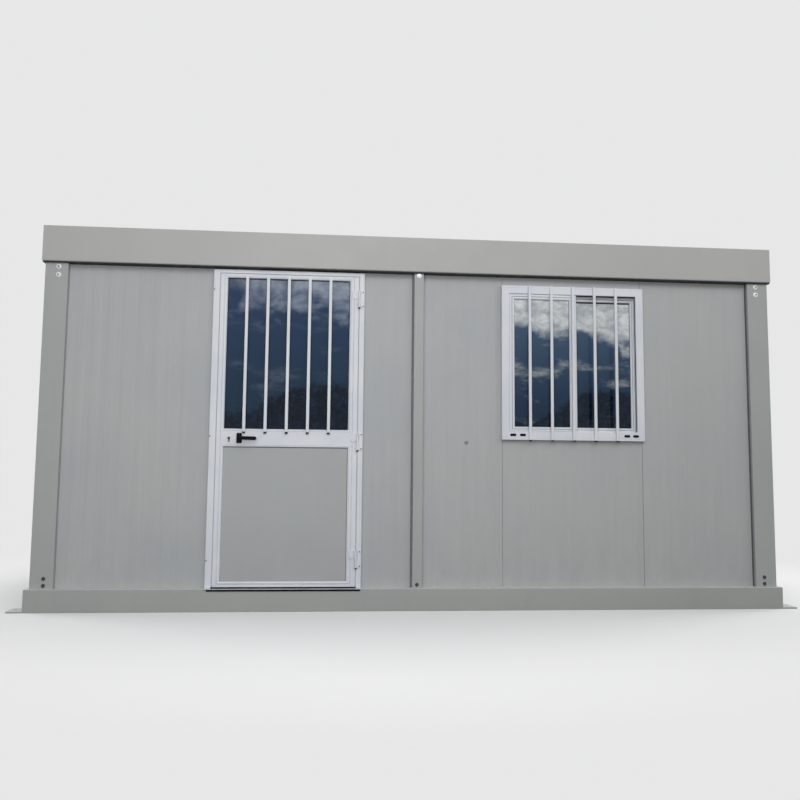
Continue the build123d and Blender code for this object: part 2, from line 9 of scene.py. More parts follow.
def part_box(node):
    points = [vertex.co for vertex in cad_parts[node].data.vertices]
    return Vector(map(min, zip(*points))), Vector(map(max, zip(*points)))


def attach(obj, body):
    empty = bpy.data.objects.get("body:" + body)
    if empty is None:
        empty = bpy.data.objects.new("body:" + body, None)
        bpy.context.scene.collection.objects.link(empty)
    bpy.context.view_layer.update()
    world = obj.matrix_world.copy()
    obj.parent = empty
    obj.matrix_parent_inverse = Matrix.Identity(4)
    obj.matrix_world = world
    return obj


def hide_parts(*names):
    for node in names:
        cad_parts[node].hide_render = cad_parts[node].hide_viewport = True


# Site cabin, dressed. Metres, X along the front, front face towards -Y, Z up, ground at z = 0.

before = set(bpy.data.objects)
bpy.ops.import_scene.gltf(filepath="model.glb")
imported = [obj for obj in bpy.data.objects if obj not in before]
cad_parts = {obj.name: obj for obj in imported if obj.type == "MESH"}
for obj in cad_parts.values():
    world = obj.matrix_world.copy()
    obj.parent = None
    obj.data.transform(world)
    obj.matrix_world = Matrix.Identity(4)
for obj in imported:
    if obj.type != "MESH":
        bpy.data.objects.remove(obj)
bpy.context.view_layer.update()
rng = random.Random(11)


# Colours and materials

def tint(r, g, b):
    """Screen colour, 0 to 255, as the linear colour a shader takes."""
    def linear(v):
        v /= 255
        return v / 12.92 if v <= 0.04045 else ((v + 0.055) / 1.055) ** 2.4
    return (linear(r), linear(g), linear(b), 1.0)


def wire(tree, node, inputs):
    """Sets inputs, each to a value or to another node's output."""
    for name, value in inputs.items():
        if isinstance(value, bpy.types.NodeSocket):
            tree.links.new(value, node.inputs[name])
        else:
            node.inputs[name].default_value = value


def make(tree, kind, inputs=None, **settings):
    """New shader node."""
    node = tree.nodes.new("ShaderNode" + kind)
    for name, value in settings.items():
        setattr(node, name, value)
    wire(tree, node, inputs or {})
    return node


def spread(tree, value, low, high, to_low=0.0, to_high=1.0, kind="SMOOTHSTEP"):
    """Value between two levels, spread over a range."""
    return make(tree, "MapRange", {
        "Value": value, "From Min": low, "From Max": high, "To Min": to_low, "To Max": to_high,
    }, interpolation_type=kind).outputs[0]


class Look:
    """One material whose colour, roughness and bump come from noise fixed to the object."""

    def __init__(self, name, slot, metallic=0.0, ior=1.45, specular=0.5):
        self.mat = bpy.data.materials.new(name)
        self.mat.use_nodes = True
        self.tree = self.mat.node_tree
        self.shader = self.tree.nodes["Principled BSDF"]
        wire(self.tree, self.shader, {"Metallic": metallic, "IOR": ior, "Specular IOR Level": specular})
        self.place = self.make("TexCoord").outputs["Object"]
        self.split = self.make("SeparateXYZ", {0: self.place})

    def make(self, kind, inputs=None, **settings):
        return make(self.tree, kind, inputs, **settings)

    def along(self, axis):
        return self.split.outputs[axis]

    def sums(self, kind, a, b):
        return self.make("Math", {0: a, 1: b}, operation=kind).outputs[0]

    def times(self, a, b):
        return self.sums("MULTIPLY", a, b)

    def plus(self, a, b):
        return self.sums("ADD", a, b)

    def minus(self, a, b):
        return self.sums("SUBTRACT", a, b)

    def remap(self, value, low, high, to_low=0.0, to_high=1.0):
        return spread(self.tree, value, low, high, to_low, to_high)

    def noise(self, scale, detail, rough, stretch=(1, 1, 1), warp=0.0, shift=0.0):
        offset = (shift, shift * 0.7, shift * 1.3)
        place = self.make("Mapping", {"Vector": self.place, "Scale": stretch, "Location": offset})
        return self.make("TexNoise", {
            "Vector": place.outputs[0], "Scale": scale, "Detail": detail, "Roughness": rough, "Distortion": warp,
        }).outputs[0]

    def patches(self, levels, *noise, to=(0.0, 1.0), **more):
        """Noise, spread the same way."""
        return self.remap(self.noise(*noise, **more), *levels, *to)

    def mix(self, share, a, b, blend="MIX"):
        return self.make("Mix", {0: share, 6: a, 7: b}, data_type="RGBA", blend_type=blend).outputs[2]

    def base(self, share, first, second):
        """Starts the colour as a mix of two screen colours."""
        self.color = self.mix(share, tint(*first), tint(*second))

    def layer(self, tone, mask):
        """Lays a screen colour over it, as far as the mask says."""
        self.color = self.mix(mask, self.color, tint(*tone))

    def shade(self, spread, share, amount):
        """Multiplies the colour by a grey that swings a little round 1."""
        grey = self.mix(amount, (1 - spread,) * 3 + (1,), (1 + spread,) * 3 + (1,))
        self.color = self.mix(share, self.color, grey, "MULTIPLY")

    def finish(self, rough, height, depth):
        bump = self.make("Bump", {"Strength": 1.0, "Distance": depth, "Height": height})
        wire(self.tree, self.shader, {"Base Color": self.color, "Roughness": rough, "Normal": bump.outputs[0]})
        return self.mat


def panel_look(name, slot, first, second, low, streaks):
    """Coated sheet: soft clouds of tone, fine upright streaks, darker patches towards the foot."""
    look = Look(name, slot, specular=0.3)
    look.base(look.patches((0.35, 0.65), 0.9, 4, 0.6), first, second)
    look.shade(0.015, streaks * 2, look.patches((0.3, 0.7), 26, 2, 0.6, (1, 1, 0.035)))
    look.shade(0.01, 0.8, look.patches((0.3, 0.7), 120, 2, 0.7, (1, 1, 0.02), shift=3))
    # darker towards the foot, in patches
    foot = look.remap(look.along("Z"), 0.15, 0.75, 1.0, 0.0)
    darker_foot_patches = look.times(foot, look.patches((0.35, 0.75), 7, 5, 0.65, (1, 1, 0.5)))
    look.layer(low, look.times(darker_foot_patches, 0.5))
    rough = look.patches((0.3, 0.7), 14, 4, 0.6, (1, 1, 0.3), shift=9, to=(0.42, 0.56))
    grain = look.times(look.noise(900, 2, 0.6), 0.12)
    wave = look.times(look.noise(3.2, 2, 0.5, (1, 1, 0.4), shift=5), 3.0)
    return look.finish(rough, look.plus(grain, wave), 0.0004)


def paint_look(name, first, second, low, cloud_scale=1.1, foot_top=0.5, dirt=0.35, top_light_tone=None):
    """Sprayed paint: orange peel, faint runs, rubbed marks low down; up-facing faces may be painted lighter, a
    painted light from above.
    """
    look = Look(name, "frame_paint", specular=0.4)
    look.base(look.patches((0.35, 0.65), cloud_scale, 5, 0.6), first, second)
    runs = look.patches((0.52, 0.78), 18, 4, 0.6, (1, 1, 0.08), shift=4)
    look.layer(low, look.times(runs, 0.10))
    foot = look.remap(look.along("Z"), 0.0, foot_top, 1.0, 0.0)
    marks = look.patches((0.5, 0.72), 23, 6, 0.7, shift=7)
    look.layer(low, look.times(look.times(foot, marks), dirt))
    if top_light_tone:
        # painted light from above: up-facing faces lighter, in patches
        facing = look.make("SeparateXYZ", {0: look.make("TexCoord").outputs["Normal"]})
        painted_top_light = look.remap(facing.outputs["Z"], 0.3, 0.9)
        look.layer(top_light_tone, look.times(painted_top_light, look.patches((0.25, 0.6), 12, 5, 0.65, shift=5, to=(0.7, 1.0))))
    rough = look.patches((0.3, 0.7), 9, 5, 0.6, shift=2, to=(0.36, 0.5))
    peel = look.times(look.noise(420, 2, 0.5), 0.16)
    wave = look.times(look.noise(2.4, 2, 0.5, shift=6), 4.0)
    return look.finish(rough, look.plus(peel, wave), 0.0004)


def white_look():
    """Powder coat on aluminium, with a trace of grey in the noise."""
    look = Look("white_coat", "white_metal", specular=0.45)
    look.base(look.patches((0.35, 0.65), 3.1, 5, 0.6), (205, 209, 217), (212, 215, 220))
    smear = look.patches((0.55, 0.8), 30, 5, 0.65, (1, 1, 0.2), shift=8)
    look.layer((182, 186, 193), look.times(smear, 0.22))
    rough = look.patches((0.3, 0.7), 40, 3, 0.6, to=(0.3, 0.42))
    return look.finish(rough, look.noise(1300, 2, 0.6), 0.00003)


def glass_painted_reflection_look(name, span, tones, cloud, cover, drift, reflected_wisp, tree):
    """Tinted pane with painted reflections of a cloudy sky: darker low and lighter high, ragged cloud high up, thin
    wisps, dark tree crowns at the foot.

    span and cover are heights, of the two tones and of the cloud's edge, and drift is along X.
    tree: height of the reflected crowns, where along X they start and stop to rise, and by how much.
    """
    look = Look(name, "tinted_glass", ior=1.5, specular=0.2)
    height = look.along("Z")
    # painted reflection: the sky's tone, darker low and lighter high
    look.base(look.remap(height, *span), *tones)
    # painted reflection of ragged cloud and thin wisps
    reflected_billow = look.noise(3.3, 9, 0.55, (1, 1, 1.4), warp=0.35, shift=2.2)
    reflected_billow = look.plus(reflected_billow, look.remap(height, *cover))
    reflected_billow = look.plus(reflected_billow, look.remap(look.along("X"), *drift))
    folds = look.patches((0.32, 0.66), 11, 8, 0.62, (1, 1, 1.5), warp=0.3, to=(0.5, 1.0))
    look.layer(cloud, look.times(look.remap(reflected_billow, 0.48, 0.70), folds))
    look.layer(cloud, look.patches((0.52, 0.76), 2.6, 9, 0.6, (1, 1, 2.6), warp=0.2, shift=6.1, to=(0.0, reflected_wisp)))
    # painted reflection of dark tree crowns
    level, rise_start, rise_end, rise = tree
    reflected_crown = look.minus(height, look.remap(look.along("X"), rise_start, rise_end, 0.0, rise))
    reflected_crown = look.minus(reflected_crown, look.times(look.noise(8, 9, 0.75, shift=1.3), 0.3))
    reflected_leaves = look.mix(look.patches((0.44, 0.70), 24, 9, 0.85), tint(2, 8, 20), tint(30, 48, 74))
    look.color = look.mix(look.remap(reflected_crown, level - 0.03, level + 0.03, 0.9, 0.0), look.color, reflected_leaves)
    rough = look.patches((0.3, 0.7), 12, 3, 0.6, to=(0.02, 0.06))
    return look.finish(rough, look.noise(2.5, 2, 0.5), 0.0006)


def galvanised_look(name, first, second, gloss=(0.34, 0.5)):
    """Zinc with spangle and weather dulling."""
    look = Look(name, "galvanised", metallic=0.85)
    spangle = look.make("TexVoronoi", {"Vector": look.place, "Scale": 70}).outputs["Color"]
    tone = look.make("SeparateColor", {0: spangle})
    look.base(look.remap(tone.outputs[0], 0.0, 1.0), first, second)
    look.layer((150, 153, 154), look.times(look.patches((0.42, 0.7), 2.2, 5, 0.65), 0.45))
    rough = look.remap(tone.outputs[1], 0.0, 1.0, *gloss)
    return look.finish(rough, look.noise(260, 3, 0.6), 0.00006)


def brushed_look(name, slot, first, second, stretch, metallic=0.9, gloss=(0.28, 0.45)):
    """Metal with fine lines along one way and rubbed patches."""
    look = Look(name, slot, metallic=metallic)
    lines = look.patches((0.3, 0.7), 500, 3, 0.7, stretch)
    look.base(lines, first, second)
    look.layer((120, 122, 124), look.times(look.patches((0.4, 0.7), 9, 5, 0.6, shift=3), 0.35))
    return look.finish(look.remap(lines, 0.0, 1.0, *gloss), look.noise(500, 3, 0.7, stretch), 0.00008)


def dull_look(name, slot, first, second, scale=50, gloss=(0.5, 0.75), depth=0.0002, specular=0.35):
    """Rubber, plastic, primer or blackened steel: fine grain and rubbed tone."""
    look = Look(name, slot, specular=specular)
    look.base(look.patches((0.35, 0.7), scale, 5, 0.65), first, second)
    rough = look.patches((0.3, 0.7), scale * 0.4, 4, 0.6, shift=5, to=gloss)
    return look.finish(rough, look.noise(scale * 14, 3, 0.6), depth)


def board_look(name, first, second, dark, joint_pitch, stretch):
    """Board or planed timber: grain along one way, and worn marks."""
    look = Look(name, "timber", specular=0.35)
    grain = look.noise(8, 6, 0.65, stretch, warp=0.6)
    look.base(look.remap(grain, 0.3, 0.7), first, second)
    look.layer(dark, look.times(look.patches((0.45, 0.75), 1.6, 5, 0.6, shift=4), 0.5))
    if joint_pitch:
        step = look.sums("MODULO", look.plus(look.along("X"), 10 * joint_pitch), joint_pitch)
        away = look.sums("ABSOLUTE", look.minus(step, joint_pitch / 2), 0.0)
        look.layer(dark, look.times(look.remap(away, 0.0, 0.003, 1.0, 0.0), 0.7))
    rough = look.patches((0.3, 0.7), 20, 4, 0.6, to=(0.38, 0.6))
    return look.finish(rough, grain, 0.0004)


PANEL = panel_look("panel_coat", "grey_paint", (166, 169, 171), (171, 173, 173), (157, 160, 160), 0.46)
DOOR_PANEL = panel_look("door_panel_coat", "grey_paint", (164, 166, 168), (166, 169, 169), (157, 160, 160), 0.03)
LINER = panel_look("liner_coat", "grey_paint", (186, 188, 188), (192, 193, 191), (160, 158, 152), 0.2)
CEILING = panel_look("ceiling_coat", "ceiling_skin", (196, 198, 197), (202, 203, 201), (190, 190, 186), 0.15)
PAINT = paint_look("frame_coat", (158, 162, 161), (162, 166, 164), (142, 145, 142), dirt=0.15)
# the sill's up-facing faces are painted lighter: painted light from above
SILL_PAINT = paint_look(
    "sill_coat", (157, 160, 158), (162, 164, 161), (141, 142, 138), foot_top=0.12, dirt=0.14, top_light_tone=(188, 191, 189),
)
ROOF_PAINT = paint_look("fascia_coat", (168, 169, 167), (172, 173, 170), (152, 153, 150), cloud_scale=0.8)
WHITE = white_look()
PRIMER = dull_look("primer_coat", "primer", (96, 98, 100), (112, 113, 112), 30)
DECK = board_look("deck_board", (128, 116, 98), (142, 130, 110), (100, 92, 80), 1.22, (1, 9, 9))
TIMBER = board_look("firring_timber", (168, 136, 98), (190, 158, 116), (128, 104, 76), 0, (1, 14, 14))
RUBBER = dull_look("seal_rubber", "black_rubber", (30, 31, 33), (42, 43, 45))
SEAL_GREY = dull_look("seal_grey", "black_rubber", (80, 83, 88), (96, 99, 103))
FADED_SEAL = dull_look("faded_seal", "black_rubber", (116, 120, 123), (132, 135, 138))
GASKET = dull_look("gasket_grey", "white_metal", (171, 174, 179), (180, 183, 188))
DARK_STEEL = dull_look("dark_fixing", "cylinder_metal", (48, 50, 52), (72, 72, 71), 120, (0.35, 0.55), 0.0001, 0.5)
BLACK = dull_look("handle_black", "black_handle", (4, 5, 8), (10, 11, 15), 80, (0.42, 0.58), 0.00006, 0.13)
GALVANISED = galvanised_look("galvanised_sheet", (168, 172, 176), (196, 199, 202))
ZINC = galvanised_look("zinc_fixing", (182, 186, 190), (208, 212, 216), (0.24, 0.36))
# near-white zinc of the top bolts: a painted highlight
ZINC_PAINTED_HIGHLIGHT = brushed_look(
    "zinc_painted_highlight", "galvanised", (236, 238, 241), (246, 247, 249), (1, 1, 1), 0.35, (0.3, 0.45),
)
ALUMINIUM = brushed_look("mill_aluminium", "mill_aluminium", (176, 179, 182), (192, 195, 198), (0.02, 1, 1))
LOCK = brushed_look("lock_metal", "cylinder_metal", (104, 106, 110), (126, 128, 132), (1, 1, 0.03), 0.6)


# Mesh building

SUNK = 0.0005  # how far the foot of a screw or bolt goes into its ground
SOFT_ANGLE = math.radians(25)  # edges sharper than this get a bevel
FOLD_RADIUS = 0.0026  # long folds of the rails


def new_object(name, data):
    thing = bpy.data.objects.new(name, data)
    bpy.context.scene.collection.objects.link(thing)
    return thing


def circle(centre, side, other, radius, count):
    """Points round a circle in the plane of two unit vectors."""
    angles = (2 * math.pi * k / count for k in range(count))
    return [centre + radius * (side * math.cos(a) + other * math.sin(a)) for a in angles]


class Shape:
    """Parts gathered into one mesh."""

    def __init__(self):
        self.bm = bmesh.new()

    def box(self, x0, x1, y0, y1, z0, z1):
        verts = [self.bm.verts.new((x, y, z)) for z in (z0, z1) for y in (y0, y1) for x in (x0, x1)]
        for face in ((0, 2, 3, 1), (4, 5, 7, 6), (0, 1, 5, 4), (2, 6, 7, 3), (0, 4, 6, 2), (1, 3, 7, 5)):
            self.bm.faces.new([verts[i] for i in face])
        return self

    def sweep(self, loops, closed=False):
        """Skin over loops of equal length. Open runs get a flat cap at both ends."""
        verts = [[self.bm.verts.new(p) for p in loop] for loop in loops]
        n, count = len(loops[0]), len(loops)
        for i in range(count if closed else count - 1):
            a, b = verts[i], verts[(i + 1) % count]
            for k in range(n):
                self.bm.faces.new((a[k], a[(k + 1) % n], b[(k + 1) % n], b[k]))
        if not closed:
            self.bm.faces.new(verts[0])
            self.bm.faces.new(verts[-1])
        return self

    def prism(self, axis, points, low, high, at=(0, 0)):
        """Outline round a point in the two other axes, in the order X, Y, Z, run along one axis."""
        def lift(p, w):
            u, v = p[0] + at[0], p[1] + at[1]
            return {"X": (w, u, v), "Y": (u, w, v), "Z": (u, v, w)}[axis]
        return self.sweep([[lift(p, low) for p in points], [lift(p, high) for p in points]])

    def ring(self, rect, widths, face, section):
        """Mitred frame round a rectangle in X and Z. Section: share of each side's width, and y behind the face."""
        x0, x1, z0, z1 = rect
        left, right, foot, top = widths
        loops = []
        for share, behind in section:
            a, b = x0 + share * left, x1 - share * right
            c, d = z0 + share * foot, z1 - share * top
            y = face + behind
            loops.append([(a, y, c), (b, y, c), (b, y, d), (a, y, d)])
        return self.sweep(loops, closed=True)

    def lathe(self, centre, axis, profile, segments=20):
        """Turned part. Profile: distance along the axis and radius; a radius of 0 closes it."""
        axis = Vector(axis).normalized()
        side = axis.orthogonal().normalized()
        other = axis.cross(side)
        rows = []
        for along, radius in profile:
            origin = Vector(centre) + axis * along
            ring = circle(origin, side, other, radius, segments) if radius > 0 else [origin]
            rows.append([self.bm.verts.new(p) for p in ring])
        for a, b in zip(rows, rows[1:]):
            for k in range(segments):
                quad = [a[k % len(a)], a[(k + 1) % len(a)], b[(k + 1) % len(b)], b[k % len(b)]]
                unique = list(dict.fromkeys(quad))
                if len(unique) > 2:
                    self.bm.faces.new(unique)
        for row in (rows[0], rows[-1]):
            if len(row) > 2:
                self.bm.faces.new(row)
        return self

    def bolt(self, centre, axis, head, height, washer):
        """Hexagon head on a round washer, standing out along the axis."""
        axis = Vector(axis)
        thick, rim = 0.0028, 0.0022
        self.lathe(centre, axis, [(-SUNK, washer), (rim, washer), (thick, washer * 0.95), (thick, 0)], 24)
        self.lathe(Vector(centre) + axis * thick, axis, [
            (-SUNK, head), (height * 0.8, head), (height, head * 0.88), (height, head * 0.5), (height * 0.94, 0),
        ], 6)

    def screw(self, centre, axis, radius):
        """Low domed screw head with a driver recess."""
        self.lathe(centre, axis, [
            (-SUNK, radius), (radius * 0.18, radius), (radius * 0.42, radius * 0.75),
            (radius * 0.5, radius * 0.4), (radius * 0.2, radius * 0.3), (radius * 0.2, 0),
        ], 16)

    def bead(self, start, end, radius):
        """Weld bead of uneven thickness between two points."""
        start, end = Vector(start), Vector(end)
        run = end - start
        axis = run.normalized()
        side = axis.orthogonal().normalized()
        other = axis.cross(side)
        steps = max(6, int(run.length / (radius * 0.9)))
        loops = []
        for i in range(steps + 1):
            size = radius * (0.55 if i in (0, steps) else rng.uniform(0.85, 1.12))
            loops.append(circle(start + run * (i / steps), side, other, size, 8))
        self.sweep(loops)

    def soften(self, edges, offset, segments):
        bmesh.ops.bevel(
            self.bm, geom=edges, offset=offset, offset_type="OFFSET", segments=segments, profile=0.5,
            affect="EDGES", clamp_overlap=True, material=-1,
        )

    def done(
        self, name, looks, replaces=None, bevel=0.0, segments=2, body="cabin", slot=None, sharp=35, fold=None,
    ):
        """Closes the mesh, softens its edges, hangs it under its body's empty and hides the node it replaces. fold
        picks the edges of wide bends.
        """
        looks = looks if isinstance(looks, list) else [looks]
        bm = self.bm
        bmesh.ops.remove_doubles(bm, verts=bm.verts, dist=1e-6)
        bmesh.ops.recalc_face_normals(bm, faces=bm.faces)
        if bevel:
            edges = [e for e in bm.edges if len(e.link_faces) == 2 and e.calc_face_angle(0) > SOFT_ANGLE]
            folds = [e for e in edges if fold and fold(e)]
            small = [e for e in edges if e not in folds]
            if folds:
                self.soften(folds, FOLD_RADIUS, 3)
                small = [e for e in small if e.is_valid]
            self.soften(small, bevel, segments)
        mesh = bpy.data.meshes.new(name)
        bm.to_mesh(mesh)
        bm.free()
        mesh.validate()
        mesh.shade_smooth()
        mesh.set_sharp_from_angle(angle=math.radians(sharp))
        for look in looks:
            mesh.materials.append(look)
        piece = new_object(name, mesh)
        even = piece.modifiers.new("even_normals", "WEIGHTED_NORMAL")
        even.keep_sharp = True
        even.weight = 80
        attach(piece, body)
        if replaces:
            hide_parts(replaces)


def boxes(name, look, places, **finish):
    """A piece made of boxes alone."""
    shape = Shape()
    for place in places:
        shape.box(*place)
    shape.done(name, look, **finish)


def dressed(node, look, bevel, segments=2, **finish):
    """A softened copy that stands for a CAD node, its flat faces made whole."""
    shape = Shape()
    bm = shape.bm
    bm.from_mesh(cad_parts[node].data)
    for face in bm.faces:
        face.material_index = 0
    bmesh.ops.remove_doubles(bm, verts=bm.verts, dist=1e-5)
    bmesh.ops.dissolve_limit(
        bm, angle_limit=math.radians(0.4), verts=bm.verts, edges=bm.edges, use_dissolve_boundaries=False,
    )
    shape.done(node + "_skin", look, node, bevel, segments, **finish)


def arc(x, z, radius, first, last, steps):
    """Points on a circle in X and Z between two angles in degrees."""
    angles = (math.radians(first + (last - first) * k / steps) for k in range(steps + 1))
    return [(x + radius * math.cos(a), z + radius * math.sin(a)) for a in angles]


def grown(box, by):
    """A box's X and Z, a little larger all round."""
    return box[0] - by, box[1] + by, box[4] - by, box[5] + by


# Places taken from the solids

def ends(node):
    """A CAD node's box as x, x, y, y, z, z."""
    low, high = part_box(node)
    return low.x, high.x, low.y, high.y, low.z, high.z


RAIL = ends("floor_side_rails")
POSTS = ends("corner_posts")
MIDDLE = ends("middle_posts")
ROOF = ends("roof_side_rails")
JAMBS = ends("door_jambs")
HEAD = ends("door_head")
LEAF = ends("door_stiles")
DOOR_GLASS = ends("door_glass")
LOWER = ends("door_lower_panel")
FRAME = ends("window_frame")
UNDER_WINDOW = ends("front_panel_under_window")
WALL_FOOT, WALL_TOP = POSTS[4], POSTS[5]
WALL_FACE = UNDER_WINDOW[2]
DOOR_FACE = JAMBS[2]
FORWARD, UP = (0, -1, 0), (0, 0, 1)


# Floor frame, posts and roof frame

def long_folds(box, levels):
    """Picks the long edges on a frame's outer faces that lie at one of the levels."""
    def on_fold(v):
        at_side = min(abs(abs(v.y) - box[3]), abs(abs(v.x) - box[1])) < 3e-4
        return at_side and any(abs(v.z - z) < 3e-4 for z in levels)
    return lambda edge: edge.calc_length() > 0.5 and all(on_fold(v.co) for v in edge.verts)


FLOOR_FOLDS = long_folds(RAIL, (0.0, RAIL[5]))
ROOF_FOLDS = long_folds(ROOF, (ROOF[5],))

for node, look, bevel, fold in (
    ("floor_side_rails", SILL_PAINT, 0.001, FLOOR_FOLDS),
    ("floor_end_rails", SILL_PAINT, 0.001, FLOOR_FOLDS),
    ("anchor_lugs", SILL_PAINT, 0.0012, None),
    ("floor_joists", PRIMER, 0.0012, None),
    ("floor_deck", DECK, 0.001, None),
    ("corner_posts", PAINT, 0.0012, None),
    ("middle_posts", PAINT, 0.0012, None),
    ("roof_seal", RUBBER, 0.001, None),
    ("roof_side_rails", ROOF_PAINT, 0.001, ROOF_FOLDS),
    ("roof_end_rails", ROOF_PAINT, 0.001, ROOF_FOLDS),
    ("ceiling_panel", CEILING, 0.001, None),
    ("roof_purlins", TIMBER, 0.002, None),
    ("roof_sheets", GALVANISED, 0.0, None),
    ("ridge_cap", GALVANISED, 0.0006, None),
):
    dressed(node, look, bevel, fold=fold)


# Wall panels with shallow upright ribs

RIB_PITCH, RIB_FLAT, RIB_SLOPE, RIB_DEPTH = 0.0985, 0.034, 0.0152, 0.0010
BEND = 0.0022  # half the length of the soft bend at each turn of a rib
JOINT_GAP, JOINT_DEPTH = 0.0009, 0.005  # half of the gap between two panels, and its depth
EDGE = 0.0016  # rounding of a panel's outer edge
RECESS_DEPTH = 0.014
LINE_HALF, LINE_DEPTH = 0.0016, 0.0011  # pressed line beside a joint
LINE_PLACES = (0.024, 0.046)  # from the joint


def rib_run(start, stop, centre):
    """Outer skin as distance along the wall and depth, with a raised flat at centre."""
    inside = BEND / RIB_SLOPE
    foot = RIB_FLAT / 2 + RIB_SLOPE
    turns = (
        (RIB_FLAT / 2 - BEND, 0.0), (RIB_FLAT / 2 + BEND, inside), (foot - BEND, 1 - inside), (foot + BEND, 1.0),
    )
    first = math.floor((start - centre) / RIB_PITCH) - 1
    count = int((stop - start) / RIB_PITCH) + 4
    middles = [centre + i * RIB_PITCH for i in range(first, first + count)]
    points = [(m + side * away, depth * RIB_DEPTH) for m in middles for side in (-1, 1) for away, depth in turns]
    points = sorted(p for p in points if start + 0.001 < p[0] < stop - 0.001)
    return [(start, points[0][1])] + points + [(stop, points[-1][1])]


def panel(name, node, along, centre, joints, lines=(), recess=0.0):
    """Sandwich panel for one CAD node: ribbed outside, plain liner inside, joints or a recess at its ends."""
    x0, x1, y0, y1, z0, z1 = ends(node)
    start, stop, near, far = (x0, x1, y0, y1) if along == "X" else (y0, y1, x0, x1)
    outer, inner = (near, far) if near < 0 else (far, near)
    inward = 1 if inner > outer else -1
    a = start + (JOINT_GAP if joints[0] else 0)
    b = stop - (recess or (JOINT_GAP if joints[1] else 0))
    run = rib_run(a, b, centre)
    for line in lines:
        run = [p for p in run if abs(p[0] - line) > 0.004]
        run += [(line - LINE_HALF, 0.0001), (line, LINE_DEPTH), (line + LINE_HALF, 0.0001)]
    run.sort()
    first, last = run[0][1], run[-1][1]
    outline = [(a, first)]
    if joints[0]:
        outline = [
            (start, JOINT_DEPTH), (a, JOINT_DEPTH), (a, EDGE), (a + 0.0005, first + 0.0004), (a + EDGE, first),
        ]
    outline += run[1:-1]
    if recess:
        outline += [(b - EDGE, last), (b, last + EDGE), (b, RECESS_DEPTH), (stop, RECESS_DEPTH)]
    elif joints[1]:
        outline += [
            (b - EDGE, last), (b - 0.0005, last + 0.0004), (b, EDGE), (b, JOINT_DEPTH), (stop, JOINT_DEPTH),
        ]
    else:
        outline += [(b, last)]
    outline += [(stop, abs(inner - outer)), (start, abs(inner - outer))]
    points = [(s, outer + inward * d) for s, d in outline]
    shape = Shape()
    shape.prism("Z", points if along == "X" else [(y, x) for x, y in points], z0, z1)
    for face in shape.bm.faces:
        middle = face.calc_center_median()
        if abs((middle.y if along == "X" else middle.x) - inner) < 1e-4:
            face.material_index = 1
    shape.done(name, [PANEL, LINER], node, sharp=20)


joint_left, joint_right = UNDER_WINDOW[:2]
rib_left = joint_left + 0.002
for name, centre, joints, lines, recess in (
    ("left", -2.240, (False, False), (), 0),
    ("beside_door", -0.270, (False, False), (), 0.0120),
    ("centre", 0.080, (False, True), [joint_left - away for away in LINE_PLACES], 0),
    ("under_window", rib_left, (True, True), [joint_right - away for away in LINE_PLACES], 0),
    ("over_window", rib_left, (True, True), (), 0),
    ("right", joint_right, (True, False), (), 0),
):
    panel(f"panel_{name}", f"front_panel_{name}", "X", centre, joints, lines, recess)
for side in ("left", "right"):
    lines = [-away for away in LINE_PLACES]
    panel(f"panel_{side}_end_front", f"{side}_panel_front", "Y", 0.0, (False, True), lines)
    panel(f"panel_{side}_end_back", f"{side}_panel_back", "Y", 0.0, (True, False))
for number in range(1, 5):
    node = f"back_panel_{number}"
    panel(f"panel_back_{number}", node, "X", ends(node)[0], (number in (2, 4), number in (1, 3)))

# faded seal in the recess at the middle post, its grey in part a painted shade there; and a dark grey strip at the
# right post, a painted shade of the post's shaded side
boxes("middle_post_seal_and_shade", FADED_SEAL, [
    (MIDDLE[0] - 0.0100, MIDDLE[0] + 0.0002, WALL_FACE + 0.0012, WALL_FACE + 0.013, WALL_FOOT, WALL_TOP),
])
post_x = ends("front_panel_right")[1]
Shape().prism("Z", [
    (0.0003, 0.0005), (-0.0050, 0.0005), (-0.0045, -0.006), (-0.0025, -0.0125), (0.0003, -0.0140),
], WALL_FOOT, WALL_TOP, (post_x, WALL_FACE)).done("right_post_painted_shade", SEAL_GREY, sharp=50)


# Welds at the lugs and mitres

welds = Shape()
lug_top = ends("anchor_lugs")[5]
for sx in (-1, 1):
    for sy in (-1, 1):
        x, outside = sx * RAIL[1], sx * (RAIL[1] + 0.001)
        y0, y1 = sy * RAIL[3], sy * (RAIL[3] - 0.12)
        over = lug_top + 0.001
        welds.bead((outside, y0 - sy * 0.004, over), (outside, y1 + sy * 0.004, over), 0.0032)
        welds.bead((x, y1, 0.001), (x, y1, lug_top - 0.001), 0.0024)
welds.done("lug_welds", PAINT, sharp=70)


# Bolts of the posts, near white at the top as a painted highlight, and dark at the foot: head radius and height,
# washer radius

TOP_BOLT, TOP_BOLT_Z = (0.0105, 0.0080, 0.0165), (2.175, 2.229)
FOOT_BOLT, FOOT_BOLT_Z = (0.0095, 0.0075, 0.0122), (0.1655, 0.209)
POST_BOLT_X, POST_BOLT_INSET = 2.388, 0.087
MIDDLE_BOLT_X = -0.007

